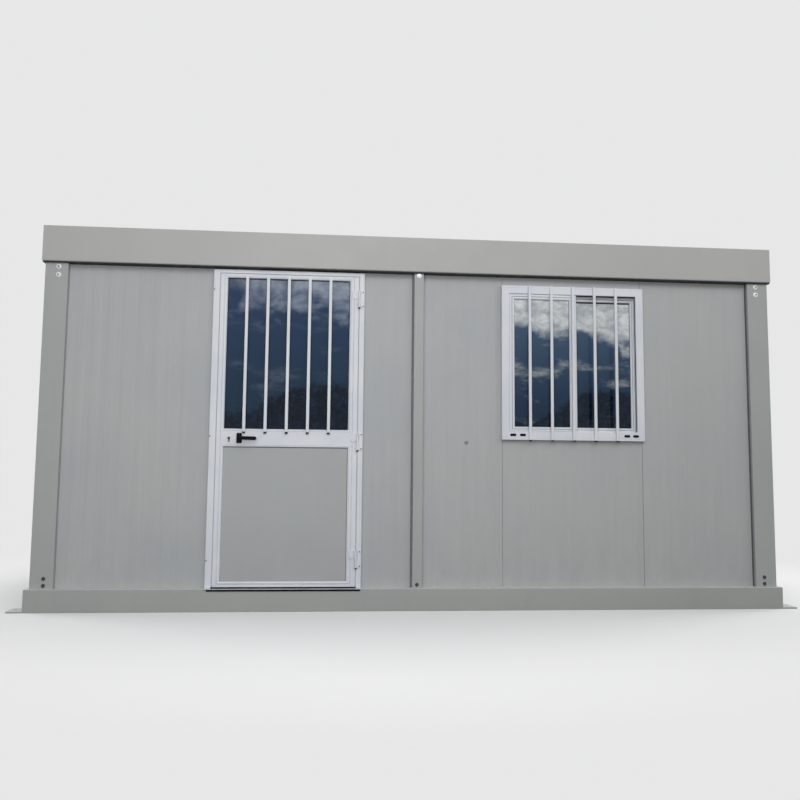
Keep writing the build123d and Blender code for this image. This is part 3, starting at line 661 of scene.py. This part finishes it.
highlit_bolts, dark = Shape(), Shape()
for sx in (-1, 1):
    for sy in (-1, 1):
        faces = (
            (sx * POST_BOLT_X, sy * POSTS[3], (0, sy, 0)),
            (sx * POSTS[1], sy * (POSTS[3] - POST_BOLT_INSET), (sx, 0, 0)),
        )
        for z in TOP_BOLT_Z:
            for x, y, axis in faces:
                highlit_bolts.bolt((x, y, z), axis, *TOP_BOLT)
                # dark recess in the head
                recess = Vector((x, y, z)) + Vector(axis) * 0.0112
                dark.lathe(recess, axis, [(-0.001, 0.0058), (0.0002, 0.0058), (0.0002, 0)], 6)
        for z in FOOT_BOLT_Z:
            for x, y, axis in faces:
                dark.bolt((x, y, z), axis, *FOOT_BOLT)
for sy in (-1, 1):
    highlit_bolts.bolt((MIDDLE_BOLT_X, sy * MIDDLE[3], 2.241), (0, sy, 0), 0.010, 0.0075, 0.0165)
    dark.bolt((MIDDLE_BOLT_X, sy * MIDDLE[3], FOOT_BOLT_Z[0]), (0, sy, 0), 0.009, 0.0065, 0.012)
highlit_bolts.done("post_bolts_top", ZINC_PAINTED_HIGHLIGHT, sharp=30)
dark.done("post_bolts_foot", DARK_STEEL, sharp=30)


# Plug in the centre panel, and the bead in the joint below and above the window

PLUG_PLACE = (0.328, WALL_FACE, 1.106)
for name, look, profile in (
    ("wall_plug", PAINT, [
        (-0.002, 0.0142), (0.0012, 0.0142), (0.0030, 0.0130), (0.0032, 0.0116), (0.0012, 0.0106), (0.0012, 0),
    ]),
    ("wall_plug_core", FADED_SEAL, [(0.0008, 0.0108), (0.0014, 0.0108), (0.0022, 0.0085), (0.0024, 0)]),
):
    Shape().lathe(PLUG_PLACE, FORWARD, profile, 28).done(name, look, sharp=50)

boxes("panel_joint_bead", FADED_SEAL, [
    (joint_right - 0.0022, joint_right + 0.0022, WALL_FACE - 0.0003, WALL_FACE + 0.003, z0, z1)
    for z0, z1 in ((WALL_FOOT, FRAME[4]), (FRAME[5], WALL_TOP))
])


# Roof screws and ceiling strips

ROOF_FALL = math.atan2(0.028, 1.132)
SCREW_PITCH, SCREWS_ALONG = 0.2, 24
SCREW_ROWS = (0.22, 0.55, 1.09)  # from the ridge

screws = Shape()
ridge_z = ends("roof_sheets")[5]
for i in range(SCREWS_ALONG):
    x = (i - (SCREWS_ALONG - 1) / 2) * SCREW_PITCH
    for y in SCREW_ROWS:
        z = ridge_z - math.tan(ROOF_FALL) * y
        for sy in (-1, 1):
            axis = (0, sy * math.sin(ROOF_FALL), math.cos(ROOF_FALL))
            screws.bolt((x, sy * y, z - 0.0005), axis, 0.0055, 0.005, 0.0105)
screws.done("roof_screws", ZINC, sharp=30)

under = ends("ceiling_panel")[4]
boxes("ceiling_strips", CEILING, [
    (x - 0.018, x + 0.018, -1.06, 1.06, under - 0.0035, under + 0.0005) for x in (-1.6, -0.6, 0.4, 1.4)
], bevel=0.0012)


# Door frame

GAP = 0.005  # between leaf and frame
LAP = 0.015  # of the frame's flange over the wall panels
STOP = 0.020  # of the jambs behind the leaf
FLANGE_DROP = 0.008  # of the head's flange below the jambs' top
LEFT_IN, RIGHT_IN = LEAF[0] - GAP, LEAF[1] + GAP
JAMB_SIDES = ((JAMBS[0], LEFT_IN, 1), (JAMBS[1], RIGHT_IN, -1))
LEAF_BACK = ends("door_rails")[3]
LEAF_DEPTH = LEAF_BACK - DOOR_FACE
stop_y, back_y = LEAF_BACK + GAP, JAMBS[3]
wall, stop_in, back_in = WALL_FACE - DOOR_FACE, LEAF_DEPTH + GAP, back_y - DOOR_FACE  # behind the door's face


def jamb_outline(edge, inner, inward):
    """Aluminium section: chamfered flange with one fine line, body and stop."""
    body, stop = edge + inward * LAP, inner + inward * STOP
    line = edge + inward * 0.0135
    return [
        (edge, wall), (edge, 0.004), (edge + inward * 0.004, 0), (line - inward * 0.001, 0), (line, 0.0012),
        (line + inward * 0.001, 0), (inner - inward * 0.0012, 0), (inner, 0.0012), (inner, stop_in),
        (stop, stop_in), (stop, back_in), (body, back_in), (body, wall),
    ]


jambs = Shape()
for edge, inner, inward in JAMB_SIDES:
    jambs.prism("Z", jamb_outline(edge, inner, inward), JAMBS[4], JAMBS[5] - FLANGE_DROP, (0, DOOR_FACE))
    low_x, high_x = sorted((edge + inward * LAP, inner))
    jambs.box(low_x, high_x, WALL_FACE, back_y, JAMBS[5] - FLANGE_DROP - 0.0002, JAMBS[5])
jambs.done("door_jamb_sections", WHITE, "door_jambs", 0.0006, sharp=30)

head_z = LEAF[5] + GAP
head_line = HEAD[5] - 0.016
flange_top = HEAD[5] - FLANGE_DROP
Shape().prism("X", [
    (0.0008, flange_top), (0, flange_top - 0.0008), (0, head_line + 0.0014), (0.0018, head_line),
    (0, head_line - 0.0014), (0, head_z + 0.0014), (0.0014, head_z), (stop_in, head_z), (back_in, head_z),
    (back_in, HEAD[5]), (0.026, HEAD[5]), (0.026, flange_top),
], LEFT_IN, RIGHT_IN, (DOOR_FACE, 0)).box(
    LEFT_IN + STOP, RIGHT_IN - STOP, stop_y, back_y, HEAD[4], head_z + 0.0002,
).done("door_head_section", WHITE, "door_head", 0.0006, sharp=30)

# pale gasket strips in the gap, held by the frame and short of the leaf
front, behind = DOOR_FACE + 0.0004, DOOR_FACE + 0.016
boxes("door_gap_gasket", GASKET, [
    (LEFT_IN - 0.0003, LEFT_IN + 0.0046, front, behind, LEAF[4] + 0.004, head_z),
    (RIGHT_IN - 0.0043, RIGHT_IN + 0.0003, front, behind, LEAF[4] + 0.004, head_z),
    (LEFT_IN, RIGHT_IN, front + 0.0042, behind, head_z - 0.0040, head_z + 0.0003),
], bevel=0.0006)

# threshold with its nose
_, _, nose_y, _, sill_z0, sill_z1 = ends("door_threshold")
back, thick = WALL_FACE - nose_y, sill_z1 - sill_z0
Shape().prism("X", [
    (0, -0.0050), (0, -0.0003), (0.0008, 0.0005), (0.0040, 0.0005), (0.0048, 0), (back, 0), (back, -thick),
    (0.002, -thick), (0.002, -0.0050),
], JAMBS[0], JAMBS[1], (nose_y, sill_z1)).box(
    JAMBS[0] + LAP, JAMBS[1] - LAP, WALL_FACE, back_y, sill_z0, sill_z1,
).done("threshold_strip", ALUMINIUM, "door_threshold", 0.0004, sharp=30)

# black strip under the nose, on the front of the sill: a painted shadow of the nose
Shape().prism("X", [
    (-0.0005, -0.0165), (-0.0005, -0.0050), (-0.0054, -0.0050), (-0.0062, -0.0062), (-0.0062, -0.0153),
    (-0.0052, -0.0165),
], JAMBS[0] + 0.020, JAMBS[1] - 0.006, (RAIL[2], sill_z1)).done(
    "threshold_nose_painted_shadow", BLACK, bevel=0.0004, slot="black_rubber",
)

# black ribbed tread between the nose and the leaf
TREAD_RIBS, TREAD_PITCH = 10, 0.0036
tread_y, tread_back = nose_y + 0.0050, DOOR_FACE - 0.0005
under, flat, crest = sill_z1 - 0.0003, sill_z1 + 0.0006, sill_z1 + 0.0014
outline = [(tread_y, under), (tread_y, flat)]
for rib in range(TREAD_RIBS):
    y = tread_y + 0.0010 + rib * TREAD_PITCH
    outline += [(y, flat), (y + 0.0008, crest), (y + 0.0018, crest), (y + 0.0026, flat)]
outline += [(tread_back, flat), (tread_back, under)]
Shape().prism("X", outline, LEFT_IN, RIGHT_IN).done("threshold_tread", BLACK, slot="black_rubber")

# white feet of the jambs on the threshold, outside the tread
foot_y = nose_y + 0.0052
feet = Shape()
for edge, inner, inward in JAMB_SIDES:
    low_x, high_x = sorted((edge + inward * 0.001, inner))
    feet.prism("X", [
        (foot_y, under), (foot_y, sill_z1 + 0.0008), (tread_back, sill_z1 + 0.0022), (tread_back, under),
    ], low_x, high_x)
feet.done("jamb_feet", WHITE, bevel=0.0004)


# Door leaf

BEAD_LEFT, BEAD_RIGHT, BEAD_FOOT, BEAD_TOP = 0.0195, 0.0275, 0.014, 0.012
bead_x0, bead_x1 = DOOR_GLASS[0] - BEAD_LEFT, DOOR_GLASS[1] + BEAD_RIGHT
glass_foot, glass_top = DOOR_GLASS[4] - BEAD_FOOT, DOOR_GLASS[5] + BEAD_TOP
lower_foot, lower_top = LOWER[4] - BEAD_FOOT, LOWER[5] + BEAD_TOP


def stile_outline(outer, bead, inward):
    """Closed section from the leaf's outer edge to the groove where the bead starts."""
    return [
        (outer, 0.0012), (outer + inward * 0.0012, 0), (bead - inward * 0.0028, 0), (bead - inward * 0.0010, 0.0032),
        (bead, 0.0036), (bead, LEAF_DEPTH - 0.0022), (bead - inward * 0.0014, LEAF_DEPTH),
        (outer + inward * 0.0012, LEAF_DEPTH), (outer, LEAF_DEPTH - 0.0012),
    ]


leaf = Shape()
for outer, bead, inward in ((LEAF[0], bead_x0, 1), (LEAF[1], bead_x1, -1)):
    leaf.prism("Z", stile_outline(outer, bead, inward), LEAF[4], LEAF[5], (0, DOOR_FACE))
leaf.done("leaf_stiles", WHITE, "door_stiles", 0.0005, body="door", sharp=30)

rails = Shape()
back = LEAF_DEPTH - 0.0004
groove = LEAF[4] + 0.0145
for z0, z1, front in (
    (glass_top, LEAF[5], [(0.0004, glass_top)]),
    (lower_top, glass_foot, [(0.0004, lower_top)]),
    (LEAF[4], lower_foot, [
        (-0.0004, LEAF[4]), (0.0008, groove - 0.0028), (0.0036, groove - 0.0016), (0.0036, groove + 0.0016),
        (0.0004, groove + 0.0028),
    ]),
):
    outline = front + [(0.0004, z1), (back, z1), (back, z0)]
    rails.prism("X", outline, bead_x0 - 0.0003, bead_x1 + 0.0003, (DOOR_FACE, 0))
# glazing beads, mitred, falling towards the glass and towards the lower panel
for foot, top in ((glass_foot, glass_top), (lower_foot, lower_top)):
    rails.ring((bead_x0, bead_x1, foot, top), (BEAD_LEFT, BEAD_RIGHT, BEAD_FOOT, BEAD_TOP), DOOR_FACE, [
        (0.0, 0.0036), (0.10, 0.0010), (0.52, 0.0008), (0.68, 0.0018), (0.94, 0.0070), (1.0, 0.0088),
        (1.0, LEAF_DEPTH - 0.0080), (0.6, LEAF_DEPTH - 0.0020), (0.0, LEAF_DEPTH - 0.0010),
    ])
rails.done("leaf_rails_and_beads", WHITE, "door_rails", 0.0004, body="door", sharp=30)


# black glazing rubber round the pane
rubber_back = DOOR_GLASS[2] + 0.0005 - DOOR_FACE
Shape().ring(grown(DOOR_GLASS, 0.001), (0.004, 0.004, 0.004, 0.005), DOOR_FACE, [
    (0, 0.009), (0.6, 0.0095), (1, 0.012), (1, rubber_back), (0, rubber_back),
]).done("pane_rubber", RUBBER, body="door")

# grey strip at the top and right of the lower panel: a painted shadow along those edges
Shape().ring(grown(LOWER, 0.0005), (0.0015, 0.0038, 0.0015, 0.0042), LOWER[2], [
    (0, -0.0012), (0.8, -0.0012), (1, 0.0002), (0, 0.0002),
]).done("lower_panel_painted_shadow", SEAL_GREY, body="door")

boxes("leaf_lower_panel", DOOR_PANEL, [LOWER], replaces="door_lower_panel", bevel=0.0008, body="door")
dressed("door_bars", WHITE, 0.0025, 3, body="door")

# both panes carry painted reflections of sky, cloud and tree crowns
DOOR_PANE = glass_painted_reflection_look(
    "door_pane", (DOOR_GLASS[4] + 0.1, DOOR_GLASS[5]), ((27, 49, 69), (40, 60, 90)), (137, 147, 162),
    cover=(1.72, 2.04, -0.28, 0.06), drift=(-1.10, -0.62, -0.03, 0.06), reflected_wisp=0.24, tree=(1.13, -1.20, -0.75, 0.20),
)
WINDOW_PANE = glass_painted_reflection_look(
    "window_pane", (FRAME[4] + 0.15, FRAME[5] - 0.09), ((24, 46, 70), (64, 86, 112)), (212, 215, 215),
    cover=(1.62, 2.04, -0.24, 0.26), drift=(1.05, 1.45, 0.0, 0.08), reflected_wisp=0.55, tree=(1.12, 0.78, 1.20, 0.20),
)
dressed("door_glass", DOOR_PANE, 0.0006, body="door")
dressed("window_panes", WINDOW_PANE, 0.0006)


# Handle and lock

dressed("lock_cylinder", LOCK, 0.0006, body="door")

lever_box = ends("lever_handle")
plate_box = ends("handle_plates")
cylinder_box = ends("lock_cylinder")
handle_x = (plate_box[0] + plate_box[1]) / 2
handle_z = (plate_box[4] + plate_box[5]) / 2
PLATE_SIDES = ((-1, plate_box[2]), (1, plate_box[3]))

PLATE_HALF, PLATE_CORNER = 0.0175, 0.009
x0, x1 = handle_x - PLATE_HALF + PLATE_CORNER, handle_x + PLATE_HALF - PLATE_CORNER
z0, z1 = plate_box[4] + PLATE_CORNER, plate_box[5] - PLATE_CORNER
outline = []
for x, z, start in ((x1, z1, 0), (x0, z1, 90), (x0, z0, 180), (x1, z0, 270)):
    outline += arc(x, z, PLATE_CORNER, start, start + 90, 6)
Shape().prism("Y", outline, plate_box[2], LEAF[2]).prism("Y", outline, LEAF[3], plate_box[3]).done(
    "handle_plates_skin", BLACK, "handle_plates", 0.0016, 3, body="door",
)


def rounded(width, height, centre):
    """Closed loop in Y and Z, between an ellipse and a rectangle."""
    def bulge(c):
        return math.copysign(abs(c) ** (2 / 2.6), c) / 2
    x, y, z = centre
    angles = [2 * math.pi * k / 20 for k in range(20)]
    return [(x, y + width * bulge(math.cos(t)), z + height * bulge(math.sin(t))) for t in angles]


# arm of the lever: distance from the hub, width, height
ARM = (
    (-0.0105, 0.006, 0.0120), (-0.0095, 0.0095, 0.0190), (-0.006, 0.0112, 0.0232), (0.0, 0.0118, 0.0250),
    (0.012, 0.0118, 0.0248), (0.03, 0.0116, 0.0242), (0.06, 0.0114, 0.0240), (0.095, 0.0112, 0.0246),
    (0.108, 0.0108, 0.0240), (0.1125, 0.0094, 0.0204), (0.1152, 0.006, 0.0128),
)
ARM_DROP = 0.02  # per metre of its length
SPINDLE = 0.004

lever = Shape()
for (sign, hub_y), tip_y in zip(PLATE_SIDES, lever_box[2:4]):
    start = hub_y + sign * 0.0008
    length = abs(tip_y - start)
    lever.lathe((handle_x, start, handle_z), (0, sign, 0), [
        (0, 0.0105), (0.004, 0.0105), (0.0052, 0.009), (length - 0.011, 0.0086), (length - 0.003, 0.0086),
        (length - 0.001, 0.0066), (length - 0.001, 0),
    ], 28)
    lever.sweep([
        rounded(width, height, (handle_x + dx, tip_y - sign * 0.006, handle_z - ARM_DROP * dx))
        for dx, width, height in ARM
    ])
spindle_length = plate_box[3] - plate_box[2] + 0.002
lever.lathe((handle_x, plate_box[2] - 0.001, handle_z), (0, 1, 0), [
    (0, 0), (0, SPINDLE), (spindle_length, SPINDLE), (spindle_length, 0),
], 12)
lever.done("lever_pair", BLACK, "lever_handle", body="door_handle", sharp=40)

# black key plug in the round top of the cylinder, with its slot
trim = Shape()
slots = []
cylinder_x = (cylinder_box[0] + cylinder_box[1]) / 2
plug_z = cylinder_box[5] - 0.0085
for sign, face in ((-1, cylinder_box[2]), (1, cylinder_box[3])):
    trim.lathe((cylinder_x, face - sign * 0.0002, plug_z), (0, sign, 0), [
        (0, 0.0082), (0.0010, 0.0082), (0.0016, 0.0074), (0.0016, 0),
    ], 24)
    y0, y1 = sorted((face + sign * 0.0008, face + sign * 0.0018))
    slots.append((cylinder_x - 0.0009, cylinder_x + 0.0009, y0, y1, plug_z - 0.0044, plug_z + 0.0044))
trim.done("key_plug", BLACK, body="door", sharp=40, slot="cylinder_metal")
boxes("key_slot", ALUMINIUM, slots, bevel=0.0002, body="door", slot="cylinder_metal")

# two small screws on each handle plate
plate_screws = Shape()
for sign, face in PLATE_SIDES:
    for dz in (-0.0255, 0.0255):
        plate_screws.screw((handle_x, face, handle_z + dz), (0, sign, 0), 0.0032)
plate_screws.done("handle_screws", DARK_STEEL, body="door", sharp=30, slot="black_handle")


# Hinges and the frame's own screws

dressed("hinge_frame_halves", WHITE, 0.0008)
dressed("hinge_leaf_halves", WHITE, 0.0008, body="door")

HINGE_HEIGHT = 0.113
FRAME_SCREW_Z = (2.11, 1.128, 0.32)
hinge = ends("hinge_frame_halves")
leaf_hinge = ends("hinge_leaf_halves")
lowest, highest = hinge[4], leaf_hinge[5] - HINGE_HEIGHT
hinge_y = DOOR_FACE - 0.004
axis_x, axis_y = (LEAF[1] + RIGHT_IN) / 2, DOOR_FACE - 0.010
frame_screws, leaf_screws, pins = Shape(), Shape(), Shape()
for z0 in (lowest, lowest + 0.444 * (highest - lowest), highest):
    for z in (z0 + HINGE_HEIGHT / 2 + 0.012, z0 + HINGE_HEIGHT - 0.010):
        leaf_screws.screw((leaf_hinge[0] + 0.010, hinge_y, z), FORWARD, 0.0036)
    for z in (z0 + 0.010, z0 + HINGE_HEIGHT - 0.010):
        frame_screws.screw((hinge[1] - 0.0090, hinge_y, z), FORWARD, 0.0044)
    pins.lathe((axis_x, axis_y, z0 - 0.0052), UP, [
        (-0.002, 0), (-0.002, 0.0060), (-0.0004, 0.0076), (0.0056, 0.0076),
    ], 18)
for z in FRAME_SCREW_Z:
    frame_screws.screw((JAMBS[0] + 0.0072, DOOR_FACE, z), FORWARD, 0.0042)
frame_screws.done("frame_screws", DARK_STEEL, sharp=30)
leaf_screws.done("hinge_leaf_screws", ZINC, body="door", sharp=30, slot="cylinder_metal")
pins.done("hinge_pin_caps", DARK_STEEL, sharp=30)

# black plugs under the bars' lower ends only, which are also a painted shadow under each end
BAR_COUNT, BAR_WIDTH = 5, 0.020
for name, node, body, height in (
    ("door_bar_plugs_and_shadow", "door_bars", "door", 0.0108), ("window_bar_plugs_and_shadow", "window_bars", "cabin", 0.008),
):
    x0, x1, y0, y1, z0, _ = ends(node)
    pitch = (x1 - x0 - BAR_WIDTH) / (BAR_COUNT - 1)
    lefts = [x0 + i * pitch for i in range(BAR_COUNT)]
    boxes(name, RUBBER, [
        (a + 0.0004, a + BAR_WIDTH - 0.0004, y0 + 0.0004, y1 - 0.0004, z0 - height, z0 + 0.0005) for a in lefts
    ], bevel=0.0015, body=body)


# Window

SIDE, FOOT, TOP = 0.053, 0.060, 0.056
face = FRAME[2]
depth, wall = FRAME[3] - face, WALL_FACE - face
Shape().ring(grown(FRAME, 0), (SIDE, SIDE, FOOT, TOP), face, [
    (0, wall), (0, 0.0016), (0.03, 0), (0.24, 0), (0.262, 0.0016), (0.284, 0), (0.96, 0), (1.0, 0.0018),
    (1.0, depth), (0.35, depth), (0.35, wall + 0.0002),
]).done("window_frame_sections", WHITE, "window_frame", 0.0006, sharp=30)

SASH_DEPTH, SASH_INSET, SASH_SPACING = 0.028, 0.004, 0.032
MEETING_WIDTH = 0.049
GROOVE_SHARE, LINE_SHARE = 0.46, 0.06  # of a sash member's width
in_x0, in_x1 = FRAME[0] + SIDE, FRAME[1] - SIDE
in_z0, in_z1 = FRAME[4] + FOOT, FRAME[5] - TOP
meeting_x = (FRAME[0] + FRAME[1]) / 2 + 0.0255
front_y = face + SASH_INSET
rear_y = front_y + SASH_SPACING
pane = (SASH_DEPTH - 0.005) / 2 + 0.0004
sashes, seals, lines = Shape(), Shape(), Shape()
for x0, x1, widths, y, top_band in (
    (in_x0, meeting_x, (0.036, MEETING_WIDTH, 0.029, 0.035), front_y, 0.0035),
    # the rear pane's rubber is 12 mm wide at the top, in part a painted shade along the pane's top
    (meeting_x - MEETING_WIDTH + SASH_INSET, in_x1, (0.023, 0.0275, 0.029, 0.036), rear_y, 0.012),
):
    low_x, high_x, low_z, high_z = x0 + 0.0012, x1 - 0.0012, in_z0 + 0.0012, in_z1 - 0.0020
    sashes.ring((low_x, high_x, low_z, high_z), widths, y, [
        (0, 0.0012), (0.03, 0), (0.44, 0), (0.46, 0.0024), (0.52, 0.0024), (0.54, 0.0002), (0.90, 0.0006),
        (1.0, 0.0068), (1.0, SASH_DEPTH - 0.007), (0.75, SASH_DEPTH - 0.0005), (0.03, SASH_DEPTH),
        (0, SASH_DEPTH - 0.001),
    ])
    groove = [GROOVE_SHARE * w for w in widths]
    lines.ring(
        (low_x + groove[0], high_x - groove[1], low_z + groove[2], high_z - groove[3]),
        [LINE_SHARE * w for w in widths], y, [(0, 0.0018), (1, 0.0018), (1, 0.0028), (0, 0.0028)],
    )
    seals.ring(
        (x0 + widths[0] - 0.001, x1 - widths[1] + 0.001, in_z0 + widths[2] - 0.001, in_z1 - widths[3] + 0.001),
        (0.0035, 0.0035, 0.0035, top_band), y, [(0, 0.0072), (0.5, 0.0074), (1, 0.0095), (1, pane), (0, pane)],
    )
# dark line on the meeting stile, left of the middle bar: a painted shadow of that bar
lines.box(1.0562, 1.0606, front_y - 0.0003, front_y + 0.0010, in_z0 + 0.012, in_z1 - 0.014)
sashes.done("window_sash_sections", WHITE, "window_sashes", 0.0005, sharp=30)
seals.done("window_pane_rubber", RUBBER)
lines.done("window_bead_lines_and_bar_shadow", SEAL_GREY)

# black brush seals under the head and on the right return, in front of the rear sash; their black is also a painted
# shade of the shaded head underside and return
boxes("window_brush_seals_and_shade", RUBBER, [
    (meeting_x + 0.0006, in_x1, face + 0.003, rear_y - 0.0006, in_z1 - 0.0045, in_z1 + 0.0002),
    (in_x1 - 0.0012, in_x1 + 0.0002, face + 0.013, face + 0.023, in_z0, in_z1 - 0.0045),
], bevel=0.0003)

# tracks at the foot and head between the sashes
boxes("window_tracks", WHITE, [
    (in_x0, in_x1, front_y + SASH_DEPTH + 0.0008, rear_y - 0.0008, z0, z1)
    for z0, z1 in ((in_z0 - 0.0004, in_z0 + 0.006), (in_z1 - 0.006, in_z1 + 0.0004))
], bevel=0.0006)

dressed("window_bars", WHITE, 0.0025, 3)

# dark drain slots in the frame's foot
DRAIN_Z, DRAIN_RADIUS = 1.162, 0.0085
drains = Shape()
for x0, x1 in ((0.622, 0.664), (0.689, 0.731), (1.418, 1.460), (1.480, 1.522)):
    outline = arc(x0 + DRAIN_RADIUS, DRAIN_Z, DRAIN_RADIUS, 90, 270, 8)
    outline += arc(x1 - DRAIN_RADIUS, DRAIN_Z, DRAIN_RADIUS, -90, 90, 8)
    drains.prism("Y", outline, face - 0.0022, face + 0.001)
drains.done("window_drain_caps", BLACK, bevel=0.0005, slot="black_rubber")


# Floor and backdrop

BACKDROP = (0.80, 0.80, 0.805, 1)
FLOOR_SEEN, FLOOR_FOR_LIGHT = (0.82, 0.82, 0.825, 1), (0.13, 0.13, 0.13, 1)
FLOOR_REACH = (2.6, 2.1)  # half axes of an ellipse just outside the cabin
FADE_START, FADE_END = 1.02, 1.75  # in those half axes
FLOOR_HALF = 60


def seen_directly(tree):
    """1 for camera, glossy and transmission rays, 0 for the others."""
    path = make(tree, "LightPath")
    total = path.outputs["Is Camera Ray"]
    for name in ("Is Glossy Ray", "Is Transmission Ray"):
        total = make(tree, "Math", {0: total, 1: path.outputs[name]}, operation="MAXIMUM").outputs[0]
    return total


def ground_look():
    """Pale near the cabin, fading into the backdrop, and darker to bounced light."""
    mat = bpy.data.materials.new("ground_pale")
    mat.use_nodes = True
    tree = mat.node_tree
    shader = tree.nodes["Principled BSDF"]
    seen = seen_directly(tree)
    tone = make(tree, "Mix", {0: seen, 6: FLOOR_FOR_LIGHT, 7: FLOOR_SEEN}, data_type="RGBA")
    wire(tree, shader, {"Base Color": tone.outputs[2], "Roughness": 0.9, "Specular IOR Level": 0.1})
    place = make(tree, "TexCoord").outputs["Object"]
    scale = (1 / FLOOR_REACH[0], 1 / FLOOR_REACH[1], 0)
    footprint = make(tree, "VectorMath", {0: place, 1: scale}, operation="MULTIPLY")
    reach = make(tree, "VectorMath", {0: footprint.outputs[0]}, operation="LENGTH")
    fade = spread(tree, reach.outputs["Value"], FADE_START, FADE_END)
    share = make(tree, "Math", {0: fade, 1: seen}, operation="MULTIPLY")
    far = make(tree, "Emission", {"Color": BACKDROP})
    both = make(tree, "MixShader", {0: share.outputs[0], 1: shader.outputs[0], 2: far.outputs[0]})
    wire(tree, tree.nodes["Material Output"], {"Surface": both.outputs[0]})
    return mat


ground = bpy.data.meshes.new("ground")
corners = [(x * FLOOR_HALF, y * FLOOR_HALF, 0) for x, y in ((-1, -1), (1, -1), (1, 1), (-1, 1))]
ground.from_pydata(corners, [], [(0, 1, 2, 3)])
ground.materials.append(ground_look())
new_object("ground", ground)

world = bpy.data.worlds.new("studio")
bpy.context.scene.world = world
world.use_nodes = True
tree = world.node_tree
# the soft sky is brighter overhead and towards +X
direction = make(tree, "TexCoord").outputs["Generated"]
toward = make(tree, "VectorMath", {0: direction, 1: (0.487, 0.0, 0.874)}, operation="DOT_PRODUCT")
level = spread(tree, toward.outputs["Value"], -0.5, 1.0, 0.06, 0.58, "LINEAR")
sky = tree.nodes["Background"]
wire(tree, sky, {"Color": (1, 1, 1, 1), "Strength": level})
shown = make(tree, "Background", {"Color": BACKDROP})
pick = make(tree, "MixShader", {0: seen_directly(tree), 1: sky.outputs[0], 2: shown.outputs[0]})
wire(tree, tree.nodes["World Output"], {"Surface": pick.outputs[0]})


# Light

for name, place, target, width, height, power, mirrored in (
    ("front_high", (-0.2, -7.0, 5.2), (-0.2, -1.0, 1.5), 6.0, 3.5, 175, True),
    ("front_low", (-1.3, -6.2, 1.6), (-1.0, -1.0, 0.8), 3.2, 1.8, 80, False),
    ("front_left", (-4.5, -6.0, 1.6), (-1.2, -1.0, 0.8), 3.0, 2.0, 12, False),
    ("front_right", (4.0, -4.6, 5.2), (1.6, -1.0, 2.3), 3.0, 2.0, 62, False),
    ("rear_high", (0.4, 8.0, 4.6), (0.0, 1.2, 1.4), 6.0, 3.5, 440, False),
    ("side_left", (-8.5, 1.6, 3.6), (-2.5, 0.2, 1.2), 3.5, 2.5, 230, False),
    ("side_right", (8.5, 1.6, 3.6), (2.5, 0.2, 1.2), 3.5, 2.5, 240, False),
):
    data = bpy.data.lights.new(name, "AREA")
    data.shape = "RECTANGLE"
    data.size, data.size_y = width, height
    data.energy = power
    lamp = new_object(name, data)
    lamp.visible_glossy = mirrored
    lamp.visible_camera = False
    lamp.location = place
    lamp.rotation_euler = (Vector(target) - Vector(place)).to_track_quat("-Z", "Y").to_euler()


# Camera, as fitted to the photograph

FOCAL_PIXELS, IMAGE_PIXELS, SENSOR = 758.566, 800, 36
EYE = (-0.54743, -6.23502, 0.93389)
YAW, PITCH, ROLL = 0.08225, 0.08870, 0.00963

camera_data = bpy.data.cameras.new("camera")
camera_data.sensor_width = SENSOR
camera_data.lens = FOCAL_PIXELS * SENSOR / IMAGE_PIXELS
camera_data.clip_end = 300
camera = new_object("camera", camera_data)
aim = Matrix.Rotation(-YAW, 4, "Z") @ Matrix.Rotation(math.pi / 2 + PITCH, 4, "X") @ Matrix.Rotation(ROLL, 4, "Z")
camera.matrix_world = Matrix.Translation(EYE) @ aim
bpy.context.scene.camera = camera
bpy.context.scene.view_settings.view_transform = "Standard"
